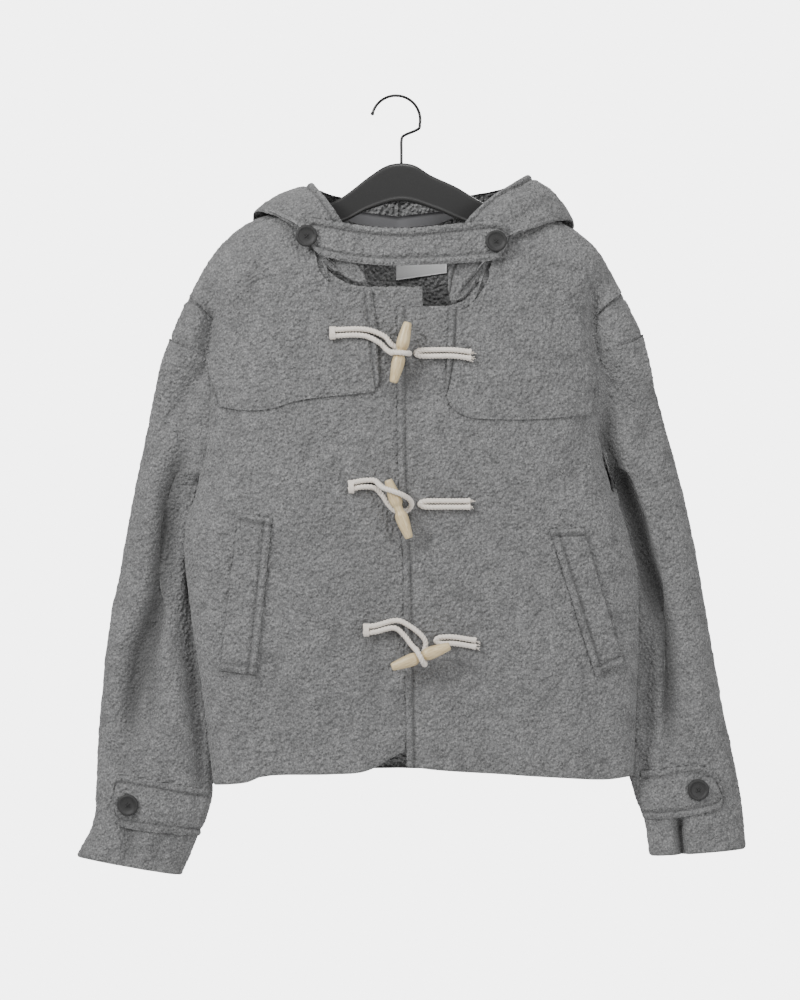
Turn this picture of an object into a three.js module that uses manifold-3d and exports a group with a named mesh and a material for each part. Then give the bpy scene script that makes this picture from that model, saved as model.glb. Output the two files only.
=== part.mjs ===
// A hooded duffle coat of thick looped wool, hanging on a hanger by its hook.
// Millimetres, +Z up. The front of the coat faces -Y, +X is the right side as seen from the front.
// The origin is the inside top of the hook, where a peg carries the hanger.
import * as THREE from "three";
import { mergeVertices } from "three/addons/utils/BufferGeometryUtils.js";
import Module from "manifold-3d";

// Driving sizes
const WOOL = 2.6; // wall of the looped wool
const SATIN = 1; // wall of the hood lining
const SEAM = 0.3; // clear space between two pieces at a seam
const LAPPED = 3.6; // how far the right front stands in front of the left one where they lap
const LAP_WIDTH = 62; // from the centre edge to where the lapped front is back in its own plane
const FLAP = 2.4; // thickness of yokes, welts, tabs and strap
const ROLL = 78; // height over which a panel rounds from the shoulder seam to its full depth
const CAP_ROLL = 62; // the same over the dropped shoulder outside the armhole fold
const CAP_DEPTH = 27; // how far the dropped shoulder stands in front of the hanger's plane
const SIDE_Y = -8; // the side seams lie a little in front of the hanger's plane
const FRONT_POWER = 6; // how sharply the fronts turn at the side, in a superellipse
const BUTTON = 23;
const BUTTON_THICK = 4;
const CORD = 5.4;
const CORD_SIDES = 6;
const TOGGLE_LENGTH = 66;
const TOGGLE_RADIUS = 6.8;
const TOGGLE_WAIST = 4.7;
const TOGGLE_END = 4.4;
const TOGGLE_LIFT = 13.3; // from the cloth to the toggle's axis, over one cord
const WRAP_RADIUS = 9.4; // of the cord's turn round a toggle's waist
const HOOK_WIRE = 3.1;
const HOOK_RADIUS = 26.2;
const HANGER_THICK = 9;
const HANGER_BEVEL = 1.2;
const HOOK_STEM = [[6, -42], [3.8, -47], [3.7, -58], [3.7, -70.9]]; // the wire below the bend, as places [x, z]
const FOLD_DIP = 0.45; // share of its depth that the dropped shoulder loses at the armhole fold, in front
const BACK_FOLD_DIP = 0.3; // and at the back
const UNDER_SIDE_Y = 15; // the back's edge under the sleeve lies this far behind the hanger's plane
const BLEND = 5; // depths that differ by less than this round into each other
const LABEL = { left: -2, right: 53, top: [-144, -143], bottom: [-196, -188], thick: 0.7 };
// Hem of each front, from its centre edge to its side seam
const HEM = {
  left: [[30, -698], [7, -704], [-33, -725], [-70, -729], [-143, -731], [-163, -738], [-200, -742]],
  right: [[9, -720], [47, -724.5], [113, -729], [179, -733], [223, -735], [254.5, -732]],
};
// Centre edge of each front, from the neck to the hem; the left one lies under the right one
const CENTRE = {
  left: [[26, -207], [30, -400], [30, -698]],
  right: [[-1, -228], [0, -397], [5, -502], [6, -553], [9, -700], [9, -720]],
};

// Depths of the coat down its length, at the middle of the front and of the back
const DEPTHS = [
  { z: -100, front: 42, back: 30, side: SIDE_Y },
  { z: -200, front: 47, back: 36, side: SIDE_Y },
  { z: -350, front: 50, back: 40, side: SIDE_Y },
  { z: -450, front: 50, back: 40, side: SIDE_Y },
  { z: -600, front: 46, back: 38, side: SIDE_Y },
  { z: -745, front: 42, back: 35, side: SIDE_Y },
];

// Edge of the body at each height: the armhole fold down to the underarm, then the side seam
const EDGE = [
  { z: -130, left: 300, right: 300 },
  { z: -170, left: 262, right: 270 },
  { z: -190, left: 228, right: 242 },
  { z: -215, left: 206, right: 217 },
  { z: -240, left: 199, right: 209 },
  { z: -286, left: 204, right: 213 },
  { z: -350, left: 206, right: 216.5 },
  { z: -391, left: 211, right: 222 },
  { z: -430, left: 219, right: 233 },
  { z: -455, left: 228.5, right: 244 },
  { z: -480, left: 231.5, right: 251 },
  { z: -510, left: 230, right: 259 },
  { z: -568, left: 223, right: 261 },
  { z: -634, left: 213, right: 259 },
  { z: -700, left: 205, right: 257 },
  { z: -745, left: 200, right: 254.5 },
];
const FOLD_TOP = -240; // below this height the panel ends in the armhole fold
const UNDERARM = -430;

// The shoulder line, over the hanger and down to the sleeve seam
const SHOULDER = {
  left: [
    { x: 0, z: -100 }, { x: 60, z: -106 }, { x: 92, z: -112 }, { x: 125, z: -121 }, { x: 157, z: -132 },
    { x: 187, z: -154 }, { x: 208, z: -181 }, { x: 218, z: -200 }, { x: 229, z: -221 }, { x: 239, z: -244 },
    { x: 246, z: -261 },
  ],
  right: [
    { x: 0, z: -100 }, { x: 60, z: -105 }, { x: 104, z: -112 }, { x: 150, z: -123 }, { x: 190, z: -142 },
    { x: 217, z: -165.5 }, { x: 232, z: -192 }, { x: 245.5, z: -218 }, { x: 256, z: -240 }, { x: 264, z: -257 },
  ],
};

// Neckline of each front, from the notch beside the placket to the shoulder seam
const NECK = {
  left: [[-29, -207], [-52, -204], [-74, -190], [-86, -168], [-91, -141], [-93, -112]],
  right: [[52, -228], [69, -222], [87, -201], [98, -176], [103, -147], [105, -112]],
};
const BACK_NECK = -141;

// The two seams of the dropped shoulder, each from the shoulder line into the armhole fold
const BAND = {
  left: { upper: [[-229, -221], [-199, -240]], lower: [[-246, -261], [-204, -286]] },
  right: { upper: [[245.5, -218], [209, -240]], lower: [[264, -257], [213, -283]] },
};

// Large soft folds: each a trough from one point to another, with its half width and depth
const FOLDS = [
  { x0: -150, z0: -420, x1: -120, z1: -735, width: 26, depth: 4 },
  { x0: -60, z0: -520, x1: -75, z1: -740, width: 22, depth: 3.5 },
  { x0: 90, z0: -500, x1: 105, z1: -740, width: 24, depth: 4 },
  { x0: 205, z0: -470, x1: 228, z1: -735, width: 18, depth: 3 },
  { x0: 150, z0: -175, x1: 192, z1: -290, width: 16, depth: 4 },
  { x0: -130, z0: -180, x1: -182, z1: -290, width: 16, depth: 4 },
];

// Sleeve rings: outer edge, inner edge, middle in depth and half depth, from the armhole to the cuff
const SLEEVE = {
  left: [
    { xo: -246, zo: -261, xi: -219, zi: -430, y: 8, deep: 20 },
    { xo: -256, zo: -292, xi: -211, zi: -444, y: 9, deep: 24 },
    { xo: -265.5, zo: -332, xi: -203, zi: -456, y: 13, deep: 27 },
    { xo: -276, zo: -380, xi: -196, zi: -470, y: 15, deep: 28 },
    { xo: -288, zo: -438, xi: -191, zi: -497, y: 16, deep: 28 },
    { xo: -299, zo: -500, xi: -189, zi: -537, y: 16, deep: 28 },
    { xo: -311, zo: -577, xi: -190, zi: -602, y: 15, deep: 27 },
    { xo: -321, zo: -651, xi: -195, zi: -671, y: 13, deep: 26 },
    { xo: -325.5, zo: -706, xi: -199, zi: -727, y: 11, deep: 25 },
    { xo: -326.6, zo: -744, xi: -203, zi: -765, y: 10, deep: 25 },
    { xo: -330, zo: -784, xi: -218, zi: -802, y: 10, deep: 25 },
    { xo: -348, zo: -820, xi: -234, zi: -841, y: 10, deep: 25 },
  ],
  right: [
    { xo: 264, zo: -257, xi: 233, zi: -430, y: 8, deep: 20 },
    { xo: 272, zo: -291, xi: 222, zi: -444, y: 9, deep: 24 },
    { xo: 284.5, zo: -337, xi: 214, zi: -458, y: 13, deep: 27 },
    { xo: 297, zo: -383, xi: 208, zi: -474, y: 15, deep: 28 },
    { xo: 311, zo: -436, xi: 207, zi: -498, y: 16, deep: 28 },
    { xo: 324, zo: -499, xi: 211, zi: -537, y: 16, deep: 28 },
    { xo: 337, zo: -576, xi: 220, zi: -602, y: 15, deep: 27 },
    { xo: 350, zo: -651, xi: 234, zi: -671, y: 13, deep: 26 },
    { xo: 361, zo: -704, xi: 246, zi: -720, y: 11, deep: 25 },
    { xo: 369, zo: -744, xi: 256, zi: -753, y: 10, deep: 25 },
    { xo: 373.5, zo: -775, xi: 267, zi: -784, y: 10, deep: 25 },
    { xo: 376.5, zo: -812, xi: 272, zi: -820, y: 10, deep: 25 },
  ],
};

// The hood as it falls back. Each row runs from the neck seam round the belly of the cloth to the rim,
// and the rows go from the front notch over the shoulder to the middle of the back.
const HOOD = {
  left: [
    { neck: [-32, -49, -204.5], low: [-34, -50, -200], belly: [-35, -50.5, -195], high: [-36, -50.5, -190],
      rim: [-36, -50, -184] },
    { neck: [-51, -50, -200.5], low: [-54, -51, -195], belly: [-53, -52, -186], high: [-50, -52, -177],
      rim: [-44, -50, -166] },
    { neck: [-72, -48, -186], low: [-76, -50, -180], belly: [-76, -52, -168], high: [-69, -51, -156],
      rim: [-55, -48, -145] },
    { neck: [-82.5, -45, -165], low: [-90, -50, -159], belly: [-95, -53, -147], high: [-86, -51, -130],
      rim: [-66, -42, -126] },
    { neck: [-87, -37, -138], low: [-110, -46, -142], belly: [-129, -38, -131], high: [-111, -33, -110],
      rim: [-78, -26, -109] },
    { neck: [-91, 0, -107.5], low: [-125, 0, -116], belly: [-156.5, 3, -127], high: [-129, 2, -105],
      rim: [-91, -3, -93] },
    { neck: [-84, 22, -114], low: [-112, 40, -140], belly: [-144, 52, -172], high: [-122, 48, -116],
      rim: [-86, 29, -97] },
    { neck: [-50, 36, -133], low: [-76, 51, -190], belly: [-98, 66, -262], high: [-86, 74, -160],
      rim: [-54, 60, -104] },
    { neck: [0, 41, -139], low: [0, 52, -210], belly: [0, 68, -315], high: [0, 84, -190], rim: [0, 73, -107] },
  ],
  right: [
    { neck: [57, -51, -224.5], low: [56, -51, -222], belly: [55, -51.5, -218], high: [54, -51.5, -214],
      rim: [53, -51, -208] },
    { neck: [68, -50, -218.5], low: [69, -51, -214], belly: [66, -52, -206], high: [61, -52, -198],
      rim: [54, -51, -186] },
    { neck: [84, -49, -197], low: [87, -51, -190], belly: [83, -52.5, -177], high: [74, -52, -166],
      rim: [60, -50, -160] },
    { neck: [94, -46, -173], low: [103, -51, -166], belly: [108, -54, -151], high: [95, -51, -136],
      rim: [72, -44, -137] },
    { neck: [99, -38, -144], low: [128, -46, -148], belly: [154, -38, -138], high: [136, -33, -109],
      rim: [98, -31, -111] },
    { neck: [103, 0, -107.5], low: [150, 0, -117], belly: [190, 3, -137], high: [169, 2, -103],
      rim: [138, -4, -84] },
    { neck: [94, 22, -114], low: [128, 40, -142], belly: [166, 52, -178], high: [152, 50, -118],
      rim: [122, 30, -93] },
    { neck: [52, 36, -133], low: [80, 51, -190], belly: [104, 66, -262], high: [98, 74, -160],
      rim: [70, 60, -102] },
    { neck: [0, 41, -139], low: [0, 52, -210], belly: [0, 68, -315], high: [0, 84, -190], rim: [0, 73, -107] },
  ],
};

// Chin strap, as its upper and lower edge with its depth
const STRAP = {
  upper: [[-101, -132], [-82.6, -135.3], [-38, -142.5], [7, -145.2], [51.6, -141.6], [96.4, -137], [116, -138]],
  lower: [[-92, -172], [-56, -181], [-11, -185.4], [25, -184.6], [69.6, -182.7], [103.6, -179.2], [117, -169]],
  depth: [
    { x: -110, y: -55.7 }, { x: -60, y: -56.7 }, { x: 7, y: -58.2 }, { x: 60, y: -57.6 }, { x: 120, y: -56.6 },
  ],
};
const STRAP_BUTTONS = { left: { x: -97.3, z: -154 }, right: { x: 104.5, z: -159.5 } };

// Yokes: inner edge, lower edge
const YOKE = {
  left: { inner: [[-28, -211], [-23, -250], [-20, -300], [-19.5, -309]],
    lower: [[-25, -318], [-35, -321], [-66, -324], [-106, -329], [-137, -338], [-161, -339.5], [-192, -336]] },
  right: { inner: [[54, -232], [52, -280], [51, -315]],
    lower: [[54.5, -333], [73, -346], [101.5, -349], [149, -349], [185, -346], [206, -344.7]] },
};

// Pocket welts, corner by corner
const WELTS = {
  left: [[-170.4, -447.8], [-134, -454.5], [-151.6, -622], [-190.3, -617.5]],
  right: [[161.2, -465.5], [197.6, -464.4], [241.7, -609.8], [211, -624.1]],
};

// Cuff tabs: outline, and the button by its place across the sleeve and along its rings
const TABS = {
  left: { button: { across: 0.31, along: 9.33 },
    outline: [[-306, -735], [-303, -730.4], [-278, -733.5], [-240, -741], [-190, -751], [-205, -799],
      [-265, -792.5], [-300.6, -786.8], [-306, -779]] },
  right: { button: { across: 0.41, along: 8.98 },
    outline: [[257, -741], [262, -727.5], [284, -724.5], [317, -719.8], [340.2, -726.4], [350, -756],
      [348.8, -767], [322.6, -773.8], [284, -779.3], [262, -778.5]] },
};

// Toggles by their two ends, and their cords by places on the cloth with the height over it.
// wrap is the holder's turn round the waist: its sense and the drift along the toggle as it turns.
// rest is how far each piece goes in towards the cloth to lie on it; the toggles come out into their cords.
const TOGGLES = [
  { top: [10.6, -246], foot: [-4.9, -311], wrap: { way: 1, drift: 2.7 },
    rest: { toggle: -1.85, holder: -0.25, loop: 0.25 },
    before: [[-73, -254, 3], [-36, -253.4, 3], [-15, -260.5, 3], [-6, -270, 3]],
    after: [[-13, -274, 4], [-21, -267, 3], [-38, -260, 3], [-73, -260.6, 3]],
    loop: [[78, -277.6, 3], [59, -275.4, 3], [30, -275.4, 3], [22, -276.3, 3], [19.2, -278.8, 3],
      [22, -281.3, 3], [30, -282, 3], [59, -282, 3], [78, -284.4, 3]] },
  { top: [-10, -414.7], foot: [11.7, -475], wrap: null,
    rest: { toggle: -1.75, holder: 0.3, loop: 1.2 },
    before: [[-53, -417.6, 3], [-38, -414.6, 3], [-25, -414.5, 3], [-19.5, -419, 11], [-15, -422.5, 21],
      [-5, -426, 24.5], [4, -429.5, 23], [11.5, -434, 17], [14.5, -440, 9.5], [9, -446.5, 3.4]],
    after: [[-2, -447, 3.4], [-10, -440, 3.2], [-17, -430, 3], [-25, -422.5, 3], [-38, -421.4, 3],
      [-53, -424.4, 3]],
    loop: [[77, -436.2, 3], [50, -436.2, 3], [32, -436.2, 3], [26, -437.2, 3], [23.4, -439.4, 3],
      [26, -441.8, 3], [32, -442.8, 3], [50, -442.8, 3], [77, -442.8, 3]] },
  { top: [-0.8, -610.7], foot: [49.5, -592.4], wrap: { way: -1, drift: -2.7 },
    rest: { toggle: -0.85, holder: 0.8, loop: 1.1 },
    before: [[-37, -570.6, 3], [-24, -569, 3], [-1, -563.6, 3], [14, -570.5, 3], [25, -579.5, 3],
      [29.5, -588, 3]],
    after: [[14, -589, 5.5], [7, -580, 3], [-4, -571.6, 3], [-24, -575.8, 3], [-37, -577.3, 3]],
    loop: [[83, -585.2, 3], [60, -581.4, 3], [48, -581.4, 3], [43, -582.4, 3], [40.4, -584.8, 3],
      [43, -587.2, 3], [48, -588.2, 3], [60, -588.2, 3], [83, -592, 3]] },
];

// The hanger's upper and lower edges
const HANGER_TOP = [[-180, -159], [-140, -138], [-69, -113], [-28.5, -84], [-12, -74], [4, -71.3], [19, -74],
  [35, -84], [63, -97], [94, -115], [150, -135], [192, -159]];
const HANGER_LOW = [[188, -168], [140, -153], [74, -136], [40, -122], [4, -113], [-32, -122], [-59, -135],
  [-130, -155], [-176, -168]];

const COLORS = {
  wool: 0x7e7e7e, satin: 0x7d7d80, label: 0xcdcdd0, cord: 0xe6dccd, wood: 0xd7c496, button: 0x28282a,
  hanger: 0x30302e, wire: 0x161616,
};
const SIGN = { left: -1, right: 1 };

// A value read off a table at a place, on a smooth curve through its rows
function read(rows, key, at, column) {
  const order = rows[0][key] < rows[rows.length - 1][key] ? 1 : -1;
  let k = 0;
  while (k < rows.length - 2 && order * (at - rows[k + 1][key]) > 0) k += 1;
  const slope = (a, b) => (rows[b][column] - rows[a][column]) / (rows[b][key] - rows[a][key]);
  const h = rows[k + 1][key] - rows[k][key];
  const t = THREE.MathUtils.clamp((at - rows[k][key]) / h, 0, 1);
  const m0 = k > 0 ? slope(k - 1, k + 1) : slope(k, k + 1);
  const m1 = k < rows.length - 2 ? slope(k, k + 2) : slope(k, k + 1);
  const a = (1 + 2 * t) * (1 - t) ** 2;
  const b = t * t * (3 - 2 * t);
  const bend = t * (1 - t) * h * ((1 - t) * m0 - t * m1);
  return a * rows[k][column] + b * rows[k + 1][column] + bend;
}

// A smooth route through points, followed from 0 to 1 by its length
function route(points) {
  const reach = [0];
  for (let i = 1; i < points.length; i += 1) {
    reach.push(reach[i - 1] + Math.hypot(...points[i].map((v, c) => v - points[i - 1][c])));
  }
  const total = reach[reach.length - 1];
  const rows = points.map((p, i) => ({ at: reach[i] / total, 0: p[0], 1: p[1], 2: p[2] }));
  const follow = (t) => points[0].map((_, c) => read(rows, "at", t, c));
  follow.total = total;
  return follow;
}

// Several routes one after the other, with sharp corners between them
function joined(parts) {
  const total = parts.reduce((sum, part) => sum + part.total, 0);
  const follow = (t) => {
    let rest = t * total;
    for (const part of parts.slice(0, -1)) {
      if (rest <= part.total) return part(rest / part.total);
      rest -= part.total;
    }
    const last = parts[parts.length - 1];
    return last(Math.min(1, rest / last.total));
  };
  follow.total = total;
  follow.corners = [0];
  let gone = 0;
  for (const part of parts) {
    gone += part.total;
    follow.corners.push(gone / total);
  }
  return follow;
}

const smoothStep = (a, b, x) => THREE.MathUtils.smoothstep((x - a) / (b - a), 0, 1);
const round = (d, over) => Math.sqrt(Math.max(0, 1 - (1 - THREE.MathUtils.clamp(d / over, 0, 1)) ** 2));
const sideOf = (x) => (x < 0 ? "left" : "right");
const edgeAt = (x, z) => read(EDGE, "z", z, sideOf(x));
const shoulderAt = (x) => read(SHOULDER[sideOf(x)], "x", Math.abs(x), "z");

// Depth that the large folds take from the front at a place
function folds(x, z) {
  return FOLDS.reduce((sum, f) => {
    const dx = f.x1 - f.x0;
    const dz = f.z1 - f.z0;
    const along = ((x - f.x0) * dx + (z - f.z0) * dz) / (dx * dx + dz * dz);
    const off = Math.hypot(x - f.x0 - along * dx, z - f.z0 - along * dz) / f.width;
    const fade = smoothStep(-0.25, 0.35, along) * (1 - smoothStep(1, 1.5, along));
    return sum + f.depth * fade * Math.exp(-off * off);
  }, 0);
}

// How far the outside of the fronts stands in front of the hanger's plane
function frontDepth(x, z) {
  const edge = edgeAt(x, z);
  const t = Math.min(1, Math.abs(x) / edge);
  const side = -read(DEPTHS, "z", z, "side");
  const below = shoulderAt(x) - z;
  const swell = Math.sqrt(Math.max(0, 1 - t ** FRONT_POWER));
  const middle = side + (read(DEPTHS, "z", z, "front") - side) * swell;
  const body = (middle - folds(x, z) * (1 - t ** 8)) * round(below, ROLL);
  const near = Math.exp(-(((Math.abs(x) - edge) / 11) ** 2)) * smoothStep(-190, -250, z);
  const cap = CAP_DEPTH * round(below, CAP_ROLL) * (1 - FOLD_DIP * near) * (1 - smoothStep(-370, UNDERARM, z));
  const gap = Math.min(BLEND, Math.abs(body - cap));
  return Math.max(body, cap) + ((BLEND - gap) ** 2 / (4 * BLEND)) * round(below, 20) * (1 - t ** 12);
}

// How far the outside of the back stands behind the hanger's plane
function backDepth(x, z) {
  const edge = edgeAt(x, z);
  const t = Math.min(1, Math.abs(x) / edge);
  const under = smoothStep(UNDERARM + 20, UNDERARM + 88, z);
  const side = THREE.MathUtils.lerp(SIDE_Y, UNDER_SIDE_Y, under);
  const shape = THREE.MathUtils.lerp(1 - t * t, Math.sqrt(Math.max(0, 1 - t ** 4)), under);
  const below = shoulderAt(x) - z;
  const body = (side + (read(DEPTHS, "z", z, "back") - side) * shape) * round(below, ROLL);
  const near = Math.exp(-(((Math.abs(x) - edge) / 14) ** 2)) * smoothStep(-190, -250, z);
  const cap = (CAP_DEPTH - 3) * round(below, CAP_ROLL) * (1 - BACK_FOLD_DIP * near);
  return Math.max(body, cap - 60 * smoothStep(-350, UNDERARM, z));
}

// A patch of cloth between four edges, as places [x, z]
function patch(top, bottom, start, end) {
  return (u, v) => {
    const corner = (c) => (1 - u) * (1 - v) * start(0)[c] + u * (1 - v) * end(0)[c]
      + (1 - u) * v * start(1)[c] + u * v * end(1)[c];
    return [0, 1].map((c) => (1 - v) * top(u)[c] + v * bottom(u)[c] + (1 - u) * start(v)[c] + u * end(v)[c]
      - corner(c));
  };
}

// Steps from 0 to 1 that pass through each corner; a bend above 1 crowds them at the end, below 1 at the start
function steps(corners, counts, bend = 1) {
  const list = [0];
  counts.forEach((count, k) => {
    for (let i = 1; i <= count; i += 1) {
      const last = k === counts.length - 1;
      const t = last ? 1 - (1 - i / count) ** bend : i / count;
      list.push(THREE.MathUtils.lerp(corners[k], corners[k + 1], t));
    }
  });
  return list;
}

// The direction out of the cloth at each of its points. square corrects it at an edge that faces another piece.
function directions(points, out, square = () => {}) {
  const rows = points.length;
  const cols = points[0].length;
  const at = (i, j) => points[Math.min(rows - 1, Math.max(0, i))][Math.min(cols - 1, Math.max(0, j))];
  const normals = points.map((row, i) => row.map((_, j) => {
    const du = new THREE.Vector3().subVectors(at(i, j + 1), at(i, j - 1));
    const dv = new THREE.Vector3().subVectors(at(i + 1, j), at(i - 1, j));
    return new THREE.Vector3().crossVectors(dv, du).normalize();
  }));
  let facing = 0;
  normals.forEach((row, i) => row.forEach((n, j) => { facing += n.dot(out(at(i, j))); }));
  const turn = Math.sign(facing);
  normals.forEach((row, i) => row.forEach((n, j) => {
    n.multiplyScalar(turn);
    square(i, j, n);
    n.normalize();
  }));
  return { normals, turn };
}

// The closed wall of a piece of cloth from the points of its outside. lift moves the wall out from the points.
function wall(points, thick, out, { lift = 0, square, given } = {}) {
  const rows = points.length;
  const cols = points[0].length;
  const { normals, turn } = given ?? directions(points, out, square);
  const moved = (by) => points.flatMap((row, i) => (
    row.map((p, j) => p.clone().addScaledVector(normals[i][j], by))
  ));
  const positions = [...moved(lift), ...moved(lift - thick)].flatMap((p) => [p.x, p.y, p.z]);
  const index = [];
  const quad = (a, b, c, d) => index.push(...(turn > 0 ? [a, b, c, a, c, d] : [a, c, b, a, d, c]));
  const o = (i, j) => i * cols + j;
  const n = (i, j) => rows * cols + i * cols + j;
  for (let i = 0; i < rows - 1; i += 1) {
    for (let j = 0; j < cols - 1; j += 1) {
      quad(o(i, j), o(i + 1, j), o(i + 1, j + 1), o(i, j + 1));
      quad(n(i, j), n(i, j + 1), n(i + 1, j + 1), n(i + 1, j));
    }
    quad(o(i, 0), n(i, 0), n(i + 1, 0), o(i + 1, 0));
    quad(o(i, cols - 1), o(i + 1, cols - 1), n(i + 1, cols - 1), n(i, cols - 1));
  }
  for (let j = 0; j < cols - 1; j += 1) {
    quad(o(0, j), o(0, j + 1), n(0, j + 1), n(0, j));
    quad(o(rows - 1, j), n(rows - 1, j), n(rows - 1, j + 1), o(rows - 1, j + 1));
  }
  const geometry = new THREE.BufferGeometry();
  geometry.setAttribute("position", new THREE.Float32BufferAttribute(positions, 3));
  geometry.setIndex(index);
  return geometry;
}

const wasm = await Module();
wasm.setup();

function solid(geometry) {
  const bare = geometry.clone();
  bare.deleteAttribute("normal");
  bare.deleteAttribute("uv");
  const merged = mergeVertices(bare, 1e-4);
  return new wasm.Manifold(new wasm.Mesh({
    numProp: 3,
    vertProperties: merged.attributes.position.array,
    triVerts: new Uint32Array(merged.index.array),
  }));
}

// A piece laid on a panel: the panel's points moved out, cut to an outline of places [x, z]
function laidOn(panel, outline, thick = FLAP) {
  const sheet = solid(wall(panel.points, thick, panel.out, { lift: SEAM + thick, square: panel.square }));
  const shape = new THREE.Shape(outline.map(([x, z]) => new THREE.Vector2(x, z)));
  const cutter = new THREE.ExtrudeGeometry(shape, { depth: 200, bevelEnabled: false });
  cutter.rotateX(Math.PI / 2);
  const pieces = sheet.intersect(solid(cutter)).decompose();
  pieces.sort((a, b) => b.volume() - a.volume());
  const mesh = pieces[0].getMesh();
  const geometry = new THREE.BufferGeometry();
  geometry.setAttribute("position", new THREE.BufferAttribute(mesh.vertProperties, 3));
  geometry.setIndex([...mesh.triVerts]);
  return geometry;
}

// Places along a list of routes, as one outline
function outlineOf(routes, count = 14) {
  return routes.flatMap((follow) => {
    const places = [];
    for (let i = 0; i < count; i += 1) places.push(follow(i / count));
    return places;
  });
}

const group = new THREE.Group();
const TOWARDS_FRONT = () => new THREE.Vector3(0, -1, 0);
const TOWARDS_BACK = () => new THREE.Vector3(0, 1, 0);

function add(name, geometry, color, roughness = 0.95) {
  const material = new THREE.MeshStandardMaterial({ color, roughness, metalness: 0 });
  const mesh = new THREE.Mesh(geometry, material);
  mesh.name = name;
  group.add(mesh);
  return mesh;
}

// The shoulder line from one place to another, as a route
function shoulderRoute(x0, x1) {
  const points = [];
  for (let i = 0; i <= 12; i += 1) {
    const x = THREE.MathUtils.lerp(x0, x1, i / 12);
    points.push([x, shoulderAt(x)]);
  }
  return route(points);
}

// The body's outer edge below the dropped shoulder, exactly on the armhole fold and side seam
function edgeRoute(side, bottom) {
  const follow = (t) => {
    const z = THREE.MathUtils.lerp(FOLD_TOP, bottom, t);
    return [SIGN[side] * read(EDGE, "z", z, side), z];
  };
  follow.total = FOLD_TOP - bottom;
  return follow;
}

const hemBottom = (side) => HEM[side][HEM[side].length - 1][1];

// Proudness of the right front over the left one, by distance from its centre edge
const lap = (x) => LAPPED * (1 - smoothStep(LAP_WIDTH * 0.55, LAP_WIDTH + 20, x));

// Each front: placket top, neckline and shoulder above, hem below
function makeFront(side) {
  const centre = route(CENTRE[side]);
  const placket = route([centre(0), NECK[side][0]]);
  const neckPoint = NECK[side][NECK[side].length - 1];
  const top = joined([placket, route(NECK[side]), shoulderRoute(neckPoint[0], BAND[side].upper[0][0])]);
  const outer = joined([route(BAND[side].upper), edgeRoute(side, hemBottom(side))]);
  const cloth = patch(top, route(HEM[side]), centre, outer);
  const us = steps(top.corners, [3, 6, 9], 1.5);
  const vs = steps(outer.corners, [3, 14]);
  const points = vs.map((v) => us.map((u) => {
    const [x, z] = cloth(u, v);
    const seam = u === 1 || (v === 0 && u > top.corners[2] - 1e-9) ? SEAM / 2 : 0;
    const proud = side === "left" ? 0 : lap(x);
    return new THREE.Vector3(x, -(frontDepth(x, z) + proud) - seam, z);
  }));
  const square = (i, j, n) => {
    const onShoulder = i === 0 && us[j] > top.corners[2] - 1e-9;
    const onSide = j === us.length - 1 && points[i][j].z < UNDERARM - 1;
    if (onShoulder || onSide) n.setY(0);
  };
  add(`front_${side}`, wall(points, WOOL, TOWARDS_FRONT, { square }), COLORS.wool);
  return { points, square, out: TOWARDS_FRONT };
}

// The back, from its left half to its right half
function makeBack() {
  const half = (side) => {
    const neckPoint = NECK[side][NECK[side].length - 1];
    const sign = SIGN[side];
    const neck = route([[0, BACK_NECK], [sign * 30, BACK_NECK + 3], [sign * 62, BACK_NECK + 13], neckPoint]);
    const top = joined([neck, shoulderRoute(neckPoint[0], BAND[side].upper[0][0])]);
    const outer = joined([route(BAND[side].upper), edgeRoute(side, hemBottom(side))]);
    const centre = route([[0, BACK_NECK], [0, -430], [0, -727]]);
    const hem = route([[0, -727], [sign * 90, -729], outer(1)]);
    const cloth = patch(top, hem, centre, outer);
    const us = steps(top.corners, [5, 8], 1.5);
    const vs = steps(outer.corners, [3, 13]);
    return vs.map((v) => us.map((u) => {
      const [x, z] = cloth(u, v);
      const onShoulder = v === 0 && u > top.corners[1] - 1e-9;
      const seam = u === 1 || onShoulder ? SEAM / 2 : 0;
      const p = new THREE.Vector3(x, backDepth(x, z) + seam, z);
      p.meets = onShoulder || (u === 1 && z < UNDERARM - 1);
      return p;
    }));
  };
  const left = half("left");
  const right = half("right");
  const points = left.map((row, i) => [...row.slice(1).reverse(), ...right[i]]);
  const square = (i, j, n) => {
    if (points[i][j].meets) n.setY(0);
  };
  add("back", wall(points, WOOL, TOWARDS_BACK, { square }), COLORS.wool);
}

// The band of a dropped shoulder, from the front fold over the shoulder line to the back fold
function makeBand(side) {
  const sign = SIGN[side];
  const upper = BAND[side].upper;
  const lower = BAND[side].lower;
  const across = 5;
  const down = 3;
  const outside = [];
  for (let k = 0; k <= down; k += 1) {
    const row = [];
    const v = THREE.MathUtils.lerp(0.02, 0.94, k / down);
    const xo = THREE.MathUtils.lerp(Math.abs(upper[0][0]), Math.abs(lower[0][0]), v) * sign;
    const zi = THREE.MathUtils.lerp(upper[1][1], lower[1][1], v);
    const xi = sign * (read(EDGE, "z", zi, side) + 1.5);
    for (let i = -across; i <= across; i += 1) {
      const t = Math.abs(i) / across;
      const eased = 1 - Math.cos((t * Math.PI) / 2);
      const x = THREE.MathUtils.lerp(xo, xi, eased);
      const z = THREE.MathUtils.lerp(shoulderAt(xo), zi, eased);
      const y = i < 0 ? -frontDepth(x, z) : backDepth(x, z);
      row.push(new THREE.Vector3(x, i === 0 ? 0 : y, z));
    }
    outside.push(row);
  }
  const out = () => new THREE.Vector3(sign, 0, 0.4);
  add(`shoulder_band_${side}`, wall(outside, WOOL, out), COLORS.wool);
}

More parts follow.
